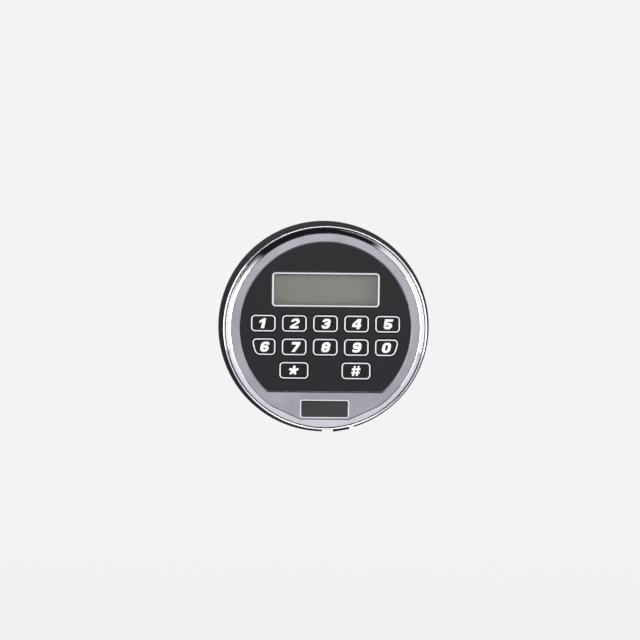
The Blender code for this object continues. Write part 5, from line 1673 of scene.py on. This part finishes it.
    def build_panel(self) -> Object:
        """Black panel with an opening for each key and the display.

        Returns:
            The piece.
        """
        keypad, display = Keypad(), Display()
        holes = []
        for grown in [lambda g, k=key: keypad.outline(k, keypad.slit + g) for key in keypad.keys()] + [
                lambda g: display.outline(keypad.slit + g)]:
            holes.append([(grown(0.0), self.panel_rear)] + soft_edge(
                grown, self.panel_rear, self.panel_front, self.soft, inward=False, steps=3))
        outer = [(self.panel_outline(), self.panel_rear)] + soft_edge(
            self.panel_outline, self.panel_rear, self.panel_front, self.panel_soft)
        return layered("keypad_panel", outer, holes)


@dataclass(frozen=True)
class Display:
    """Silver frame, clear window and display glass."""

    width: float = 50.4
    height: float = 16.0
    corner: float = 1.6
    line: float = 0.66
    middle: float = 17.98
    rear: float = 23.4
    front: float = 24.95
    soft: float = 0.3
    inner_soft: float = 0.25
    window_margin: float = 1.4
    window_depths: tuple[float, float] = (22.1, 23.1)
    window_soft: float = 0.15
    glass_margin: float = 2.6
    glass_depths: tuple[float, float] = (19.2, 21.8)
    glass_soft: float = 0.2

    def outline(self, grow: float = 0.0) -> Outline:
        """Outline of the frame, grown by a clearance."""
        return rounded_rectangle(self.width + 2 * grow, self.height + 2 * grow, self.corner + grow,
                                 (0.0, self.middle))

    def window_outline(self, grow: float = 0.0) -> Outline:
        """Outline of the window, grown by a clearance."""
        return self.outline(self.window_margin + grow)

    def glass_outline(self, grow: float = 0.0) -> Outline:
        """Outline of the display glass, grown."""
        return self.outline(self.glass_margin + grow)

    def build(self) -> None:
        """Build and install the frame, the window and the display."""
        outer = [(self.outline(), self.rear)] + soft_edge(self.outline, self.rear, self.front, self.soft)
        inner = [(self.outline(-self.line), self.rear)] + soft_edge(
            lambda g: self.outline(-self.line + g), self.rear, self.front, self.inner_soft, inward=False)
        install(layered("display_surround", outer, [inner]), Surface.SILVER_AND_HIGHLIGHT, "knob", "display_frame")
        for name, node, surface, grown, (rear, front), edge in (
                ("display_pane", "display_window", Surface.WINDOW, self.window_outline, self.window_depths,
                 self.window_soft),
                ("display_glass_stack", "display_module", Surface.LCD, self.glass_outline, self.glass_depths,
                 self.glass_soft)):
            sheet = [(grown(), rear)] + soft_edge(grown, rear, front, edge)
            install(layered(name, sheet), surface, "knob", node)


@dataclass(frozen=True)
class Key:
    """One key: its mark, its node's name and its place in the grid."""

    mark: str
    name: str
    row: int
    column: int


@dataclass(frozen=True)
class Keypad:
    """Twelve keys, each a cap with a silver line and a white mark."""

    width: float = 11.55
    height: float = 7.8
    corner: float = 1.9
    wide: float = 13.6
    pitch: float = 14.62
    row_pitch: float = 11.05
    top: float = 2.04
    rim: float = 35.0
    slit: float = 0.5
    lip: float = 0.6
    lip_rear: float = 22.1
    lip_front: float = 23.1
    front: float = 25.2
    line: float = 0.6
    line_soft: float = 0.3
    line_inner_soft: float = 0.2
    sink: float = 0.15
    seat: float = 24.7
    low_corner: float = 3.0
    field_step: float = 0.1
    mark_sunk: float = 0.03
    mark_proud: float = 0.05
    mark_shift: float = 0.3

    def keys(self) -> list[Key]:
        """The twelve keys in reading order.

        Returns:
            The keys.
        """
        rows = ("12345", "67890", " * # ")
        names = {"*": "star", "#": "hash"}
        return [Key(mark, names.get(mark, mark), row, column) for row, marks in enumerate(rows)
                for column, mark in enumerate(marks) if mark != " "]

    def centre(self, key: Key) -> Point:
        """Place of a key's middle on the face."""
        return (key.column - 2) * self.pitch, self.top - key.row * self.row_pitch

    def outline(self, key: Key, grow: float = 0.0) -> Outline:
        """Outline of a key; the end keys of the second row follow the round face.

        Args:
            key: The key.
            grow: Growth of the outline.

        Returns:
            The outline.
        """
        centre = self.centre(key)
        width = (self.wide if key.name in ("star", "hash") else self.width) + 2 * grow
        height = self.height + 2 * grow
        corner = self.corner + grow
        if key.name not in ("6", "0"):
            return rounded_rectangle(width, height, corner, centre)
        side = copysign(1.0, centre[0])
        rim = self.rim + grow
        inner = side * centre[0] - width / 2
        top, bottom = centre[1] + height / 2, centre[1] - height / 2
        low, high = self.low_corner + grow, corner
        low_spot = (sqrt((rim - low) ** 2 - (bottom + low) ** 2), bottom + low)
        high_spot = (sqrt((rim - high) ** 2 - (top - high) ** 2), top - high)
        low_angle, high_angle = atan2(low_spot[1], low_spot[0]), atan2(high_spot[1], high_spot[0])
        outline = arc(corner, -pi, -pi / 2, 8, (inner + corner, bottom + corner))
        outline += arc(low, -pi / 2, low_angle, 8, low_spot)
        outline += arc(rim, low_angle, high_angle, 6)[1:-1]
        outline += arc(high, high_angle, pi / 2, 8, high_spot)
        outline += arc(corner, pi / 2, pi, 8, (inner + corner, top - corner))
        return [(side * x, z) for x, z in outline]

    def build(self) -> None:
        """Build and install every key."""
        for key in self.keys():
            body = "button_" + key.name
            install(self.build_cap(key), Surface.KEY, body, "key_" + key.name)
            install(self.build_line(key), Surface.SILVER_AND_HIGHLIGHT, body)
            install(self.build_mark(key), Surface.INK, body)

    def build_cap(self, key: Key) -> Object:
        """Moulded cap with its lip behind the panel and its sunk field."""
        lip, body, field = (self.outline(key, grow) for grow in (self.lip, 0.0, self.field_step - self.line))
        return layered("cap_" + key.name, [
            (lip, self.lip_rear), (lip, self.lip_front), (body, self.lip_front), (body, self.seat),
            (field, self.seat), (field, self.front - self.sink)])

    def build_line(self, key: Key) -> Object:
        """Silver line round the cap, crowned across its width.

        Args:
            key: The key.

        Returns:
            The piece.
        """
        outer = [(self.outline(key), self.seat)] + soft_edge(
            lambda g: self.outline(key, g), self.seat, self.front, self.line_soft)
        inner = [(self.outline(key, -self.line), self.seat)] + soft_edge(
            lambda g: self.outline(key, -self.line + g), self.seat, self.front, self.line_inner_soft,
            inward=False)
        return layered("line_" + key.name, outer, [inner])

    def build_mark(self, key: Key) -> Object:
        """White mark: a heavy, wide, slanted figure of slight thickness.

        Args:
            key: The key.

        Returns:
            The piece.
        """
        centre = self.centre(key)
        shifts = {"1": -0.25, "6": 0.8, "7": 0.6, "0": -0.4, "*": -0.15, "#": -0.1}
        shift = shifts.get(key.mark, self.mark_shift)
        field = self.front - self.sink

        def lean(outline: Outline) -> Outline:
            """Slant an outline and set it on its key."""
            return [(centre[0] + shift + x + Figures.slant * z, centre[1] + z) for x, z in outline]

        shape, *holes = (lean(outline) for outline in Figures().outlines(key.mark))
        low, high = field - self.mark_sunk, field + self.mark_proud
        return layered("mark_" + key.name, [(shape, low), (shape, high)],
                       [[(hole, low), (hole, high)] for hole in holes])


@dataclass(frozen=True)
class Figures:
    """Plain heavy figures, drawn upright about their own middle."""

    slant: float = 0.2
    half: float = 2.35
    side: float = 2.0
    stem: float = 1.42
    bar: float = 1.12
    soft: float = 1.6
    tight: float = 0.4
    star_reach: float = 2.3
    star_half: float = 0.58

    def outlines(self, mark: str) -> list[Outline]:
        """Outline of a figure and of its counters.

        Args:
            mark: A digit, a star or a hash.

        Returns:
            The outer outline, then its holes.
        """
        h, w, v, b, m = self.half, self.side, self.stem, self.bar, self.bar / 2
        s, t = self.soft, self.tight

        def counter(low: float, high: float) -> list[tuple[float, float, float]]:
            """Hole between two heights, as wide as the stems leave it."""
            return [(w - v, low, t), (w - v, high, t), (v - w, high, t), (v - w, low, t)]

        if mark == "9":
            return [[(-x, -z) for x, z in outline] for outline in self.outlines("6")]
        if mark == "*":
            return [self.star()]
        shapes: dict[str, tuple[list[tuple[float, float, float]], ...]] = {
            "0": ([(w, -h, s), (w, h, s), (-w, h, s), (-w, -h, s)],
                  counter(b - h, h - b)),
            "1": ([(1.1, -h, 0), (1.1, h, 0), (0.0, h, 0), (-1.7, 1.2, 0), (-1.7, 0.0, 0), (-0.4, 0.75, 0),
                   (-0.4, -h, 0)],),
            "2": ([(w, -h, 0), (w, b - h, 0), (-0.3, b - h, 0), (w, 0.3, 1.0), (w, h, s), (-w, h, s),
                   (-w, 0.75, 0), (v - w, 0.75, 0), (v - w, h - b, t), (w - v, h - b, t), (w - v, 0.5, 0.3),
                   (-w, -1.2, 0.6), (-w, -h, 0)],),
            "3": ([(w, -h, s), (w, -0.3, 0.3), (w - 0.35, 0.0, 0), (w, 0.3, 0.3), (w, h, s), (-w, h, s),
                   (-w, 0.85, 0), (v - w, 0.85, 0), (v - w, h - b, t), (w - v, h - b, t), (w - v, m, t),
                   (-0.7, m, 0), (-0.7, -m, 0), (w - v, -m, t), (w - v, b - h, t), (v - w, b - h, t),
                   (v - w, -0.85, 0), (-w, -0.85, 0), (-w, -h, s)],),
            "4": ([(0.1, -h, 0), (0.1 + v, -h, 0), (0.1 + v, 0.9 - h, 0), (w, 0.9 - h, 0),
                   (w, 0.9 + b - h, 0), (0.1 + v, 0.9 + b - h, 0), (0.1 + v, h, 0), (-0.2, h, 0),
                   (-w - 0.2, 1.2 + b - h, 0), (-w - 0.2, 0.9 - h, 0), (0.1, 0.9 - h, 0)],
                  [(0.1, 0.9 + b - h, 0), (0.1, h - 1.4, 0), (-1.1, 0.9 + b - h, 0)]),
            "5": ([(w, -h, s), (w, m + 0.1, s), (v - w, m + 0.1, 0), (v - w, h - b, 0), (w - 0.1, h - b, 0),
                   (w - 0.1, h, 0), (-w, h, 0), (-w, -m, 0), (w - v, -m, t), (w - v, b - h, t),
                   (v - w, b - h, t), (v - w, -0.95, 0), (-w, -0.95, 0), (-w, -h, s)],),
            "6": ([(w, -h, 1.4), (w, m + 0.1, 1.4), (v - w, m + 0.1, 0), (v - w, h - b, t), (w - v, h - b, 0),
                   (w - v, 0.95, 0), (w, 0.95, 0), (w, h, 1.2), (-w, h, s), (-w, -h, s)],
                  counter(b - h, -m)),
            "7": ([(-1.45, -h, 0), (0.15, -h, 0), (w - 0.1, h - b - 0.25, 0), (w, h, 0), (-w, h, 0),
                   (-w, h - b - 0.1, 0), (0.35, h - b - 0.1, 0)],),
            "8": ([(w, -h, s), (w, -0.4, 0.4), (w - 0.3, 0.0, 0), (w, 0.4, 0.4), (w, h, s), (-w, h, s),
                   (-w, 0.4, 0.4), (0.3 - w, 0.0, 0), (-w, -0.4, 0.4), (-w, -h, s)],
                  counter(b - h, -m), counter(m, h - b)),
            "#": self.hash_corners(),
        }
        return [rounded([(x, z) for x, z, _ in corners], [radius for _, _, radius in corners], 5)
                for corners in shapes[mark]]

    def star(self) -> Outline:
        """Star of five round-ended arms, one of them upright.

        Returns:
            The outline.
        """
        reach, half = self.star_reach, self.star_half
        corners: list[Point] = []
        for arm in range(5):
            angle = pi / 2 + tau * arm / 5
            ahead = Vector((cos(angle), sin(angle)))
            aside = Vector((-sin(angle), cos(angle)))
            valley = Matrix.Rotation(pi / 5, 2) @ ahead * half / sin(pi / 5)
            corners += [tuple(ahead * reach - aside * half), tuple(ahead * reach + aside * half),
                        tuple(valley)]
        return rounded(corners, [half * 0.95, half * 0.95, 0.0] * 5, 5)

    def hash_corners(self) -> tuple[list[tuple[float, float, float]], ...]:
        """Corners of two uprights that cross two bars.

        Returns:
            The outer corners and the corners of the middle hole, each with its radius.
        """
        h, w = self.half, self.side
        near, far, low, high = 0.45, 1.35, 0.4, 1.2
        quarter = [(near, -h), (far, -h), (far, -high), (w, -high), (w, -low), (far, -low)]
        right = quarter + [(x, -z) for x, z in reversed(quarter)]
        outer = right + [(near, high), (-near, high)] + [(-x, -z) for x, z in right]
        outer += [(-near, -high), (near, -high)]
        hole = [(near, -low), (near, low), (-near, low), (-near, -low)]
        return [(x, z, 0.0) for x, z in outer], [(x, z, 0.0) for x, z in hole]


@dataclass(frozen=True)
class Port:
    """Rubber cover over the micro-USB socket."""

    width: float = 21.5
    height: float = 7.1
    corner: float = 0.5
    middle: float = -38.1
    rear: float = 24.1
    front: float = 25.3
    clearance: float = 0.3
    frame: float = 0.5
    floor: float = 23.8
    hole_width: float = 9.8
    hole_height: float = 4.8
    hole_corner: float = 0.8
    low_bevel: float = 0.1
    low_round: float = 0.3
    end_bevel: float = 0.2
    low_angles: tuple[float, ...] = (0.0, 0.39, 0.79, 1.18, 1.57)
    surround_rear: float = 24.9
    surround_proud: float = 0.12
    surround_round: float = 0.15

    def centre(self) -> Point:
        """Place of the cover's middle on the face."""
        return 0.0, self.middle

    def outline(self, grow: float = 0.0) -> Outline:
        """Outline of the cover, grown by a clearance."""
        return rounded_rectangle(self.width + 2 * grow, self.height + 2 * grow, self.corner + grow,
                                 self.centre())

    def build(self) -> None:
        """Build and install the cover and the near-white line round it, a painted highlight for the rim's
        bright edge.
        """
        install(self.build_flap(), Surface.RUBBER, "cover", "port_cover")
        front = self.front + self.surround_proud
        walls = []
        for grow, inward in ((self.clearance + self.frame, True), (self.clearance, False)):
            walls.append([(self.outline(grow), self.surround_rear)] + soft_edge(
                lambda g, wide=grow: self.outline(wide + g), self.surround_rear, front, self.surround_round,
                inward, steps=3))
        # Near-white rim round the port: painted highlight.
        install(layered("port_rim_highlight", walls[0], walls[1:]), Surface.SILVER_AND_HIGHLIGHT, "knob")

    def build_flap(self) -> Object:
        """Flap with a round upper edge, where it hinges, and bevelled ends.

        Returns:
            The piece.
        """
        half, half_width = (self.front - self.rear) / 2, self.width / 2
        top, bottom = self.middle + self.height / 2, self.middle - self.height / 2
        low, bevel = self.low_round, self.end_bevel
        side = arc(half, 0.0, pi, 12, (self.front - half, top - half))
        side += [(self.rear, bottom + self.low_bevel), (self.rear + self.low_bevel, bottom)]
        side += [(self.front - low + low * sin(a), bottom + low - low * cos(a)) for a in self.low_angles]
        mesh = bmesh.new()
        rings = []
        for x, inset in ((-half_width, bevel), (bevel - half_width, 0.0), (half_width - bevel, 0.0),
                         (half_width, bevel)):
            rings.append([mesh.verts.new(place(x, z + copysign(inset, self.middle - z),
                                               out + copysign(inset, self.front - half - out)))
                          for out, z in side])
        for near, far in zip(rings, rings[1:]):
            for index in range(len(side)):
                after = (index + 1) % len(side)
                mesh.faces.new((near[index], near[after], far[after], far[index]))
        mesh.faces.new(rings[0])
        mesh.faces.new(rings[-1])
        return as_object("rubber_flap", mesh)


NODE_SURFACES: dict[Surface, tuple[str, ...]] = {
    Surface.STEEL: ("usb_socket", "solenoid_frame"),
    Surface.SILICONE: ("key_mat",),
    Surface.BOARD: ("main_board",),
    Surface.ABS: ("buzzer", "head_back", "battery_cover_upper", "battery_cover_lower"),
    Surface.CELL: tuple(f"cell_{number}" for number in range(1, 5)),
    Surface.NICKEL: tuple(f"battery_contact_{row}_{side}" for row in ("upper", "lower")
                          for side in ("left", "right")),
    Surface.COPPER: ("solenoid_coil",),
}


@dataclass(frozen=True)
class Studio:
    """Plain floor, soft lamps, pale surroundings and the camera."""

    camera_place: tuple[float, float, float] = (-86.0, -2077.0, 85.0)
    target: tuple[float, float, float] = (-1.59, 0.0, 2.78)
    lens: float = 246.0
    roll: float = radians(0.65)
    floor_level: float = -350.0
    backdrop: str = "F3F3F5"
    front_tone: str = "A3A2A8"
    below_tone: str = "DAD8E6"
    roof_tone: str = "1C1C20"
    side_tone: str = "FFFFFF"
    floor_tone: str = "E6E5EA"
    floor_half: float = 1200.0
    floor_centre: float = -600.0
    lamps: tuple[tuple[str, tuple[float, float, float], tuple[float, float], float], ...] = (
        ("left_box", (-1100.0, -200.0, 200.0), (900.0, 1100.0), 11.0),
        ("right_box", (1080.0, -260.0, 100.0), (900.0, 1000.0), 11.0),
        ("front_box", (150.0, -1650.0, 640.0), (1100.0, 700.0), 10.5))

    def build(self) -> None:
        """Build the whole studio."""
        self.build_camera()
        self.build_floor()
        self.build_world()
        self.build_lamps()

    def build_camera(self) -> None:
        """Camera square to the face, a little above and to the left of it."""
        data = bpy.data.cameras.new("camera")
        data.lens = self.lens
        data.clip_start = 0.05
        data.clip_end = 20.0
        camera = link("camera", data)
        here = Vector(self.camera_place) * MM
        aim = (Vector(self.target) * MM - here).to_track_quat("-Z", "Y").to_matrix().to_4x4()
        camera.matrix_world = Matrix.Translation(here) @ aim @ Matrix.Rotation(self.roll, 4, "Z")
        bpy.context.scene.camera = camera
        bpy.context.scene.view_settings.view_transform = "Standard"

    def build_floor(self) -> None:
        """Plain pale floor below the lock."""
        mesh = bmesh.new()
        bmesh.ops.create_grid(mesh, x_segments=1, y_segments=1, size=self.floor_half * MM)
        data = bpy.data.meshes.new("floor")
        mesh.to_mesh(data)
        mesh.free()
        floor = link("floor", data)
        data.transform(Matrix.Translation(Vector((0.0, self.floor_centre, self.floor_level)) * MM))
        material = bpy.data.materials.new("pale_floor")
        material.use_nodes = True
        shader = material.node_tree.nodes["Principled BSDF"]
        shader.inputs["Base Color"].default_value = linear(self.floor_tone)
        shader.inputs["Roughness"].default_value = 0.8
        data.materials.append(material)
        floor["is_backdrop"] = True

    def build_world(self) -> None:
        """Pale surroundings: white behind and at the sides, greyer in front, dark overhead, lilac below."""
        world = bpy.data.worlds.new("surroundings")
        world.use_nodes = True
        tree = world.node_tree
        where = add_node(tree, "ShaderNodeTexCoord")
        x, y, z = add_node(tree, "ShaderNodeSeparateXYZ", {0: where.outputs["Generated"]}).outputs
        across = add_node(tree, "ShaderNodeMath", {0: x}, operation="ABSOLUTE")

        def ramp(value: NodeSocket, start: float, end: float) -> NodeSocket:
            """Smooth step from 0 at the start to 1 at the end."""
            return add_node(tree, "ShaderNodeMapRange", {"Value": value, "From Min": start, "From Max": end},
                            interpolation_type="SMOOTHSTEP").outputs["Result"]

        def tone(share: NodeSocket, before: Any, after: str) -> NodeSocket:
            """Mix a colour over what came before."""
            return mix_colours(tree, share, before, linear(after))

        def join_values(operation: str, first: NodeSocket, second: NodeSocket) -> NodeSocket:
            """Product, or larger one, of two values."""
            return add_node(tree, "ShaderNodeMath", {0: first, 1: second}, operation=operation).outputs[0]

        front = tone(ramp(y, -0.45, -0.85), linear(self.backdrop), self.front_tone)
        below = tone(ramp(z, -0.05, -0.35), front, self.below_tone)
        sides = tone(ramp(across.outputs[0], 0.6, 0.9), below, self.side_tone)
        left = join_values("MAXIMUM", ramp(x, -0.8, -0.62), ramp(y, 0.15, 0.35))
        right = join_values("MAXIMUM", ramp(x, 0.35, 0.15), ramp(y, 0.42, 0.3))
        both = join_values("MULTIPLY", left, right)
        inside = join_values("MULTIPLY", both, ramp(x, 0.66, 0.5))
        high = join_values("MULTIPLY", inside, ramp(z, 0.25, 0.5))
        whole = tone(high, sides, self.roof_tone)
        tree.links.new(whole, tree.nodes["Background"].inputs["Color"])
        bpy.context.scene.world = world

    def build_lamps(self) -> None:
        """Two tall soft boxes at the sides and a wide one in front and above."""
        for name, spot, size, power in self.lamps:
            data = bpy.data.lights.new(name, "AREA")
            data.shape = "RECTANGLE"
            data.size, data.size_y = size[0] * MM, size[1] * MM
            data.energy = power
            here = Vector(spot) * MM
            aim = (-here).to_track_quat("-Z", "Y").to_matrix().to_4x4()
            link(name, data).matrix_world = Matrix.Translation(here) @ aim


def keep_size(label: str, sizes: dict[str, list[list[float]]]) -> None:
    """Note the whole object's box under a label.

    Args:
        label: Name of the moment.
        sizes: Notes so far.
    """
    low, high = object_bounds()
    sizes[label] = [[float(v) for v in low], [float(v) for v in high]]


def main() -> None:
    """Build the lock's looks and its studio."""
    logging.basicConfig(level=logging.INFO, format="%(message)s")
    sizes: dict[str, list[list[float]]] = {}
    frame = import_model()
    keep_size("cad", sizes)
    Studio().build()
    for assembly in (Flange(), DoorFittings(), Drive(), Fasteners(), Head(), Display(), Keypad(), Port()):
        assembly.build()
    for surface, names in NODE_SURFACES.items():
        for name in names:
            surface.dress(frame["nodes"][name])
    keep_size("visual", sizes)


if __name__ == "__main__":
    main()
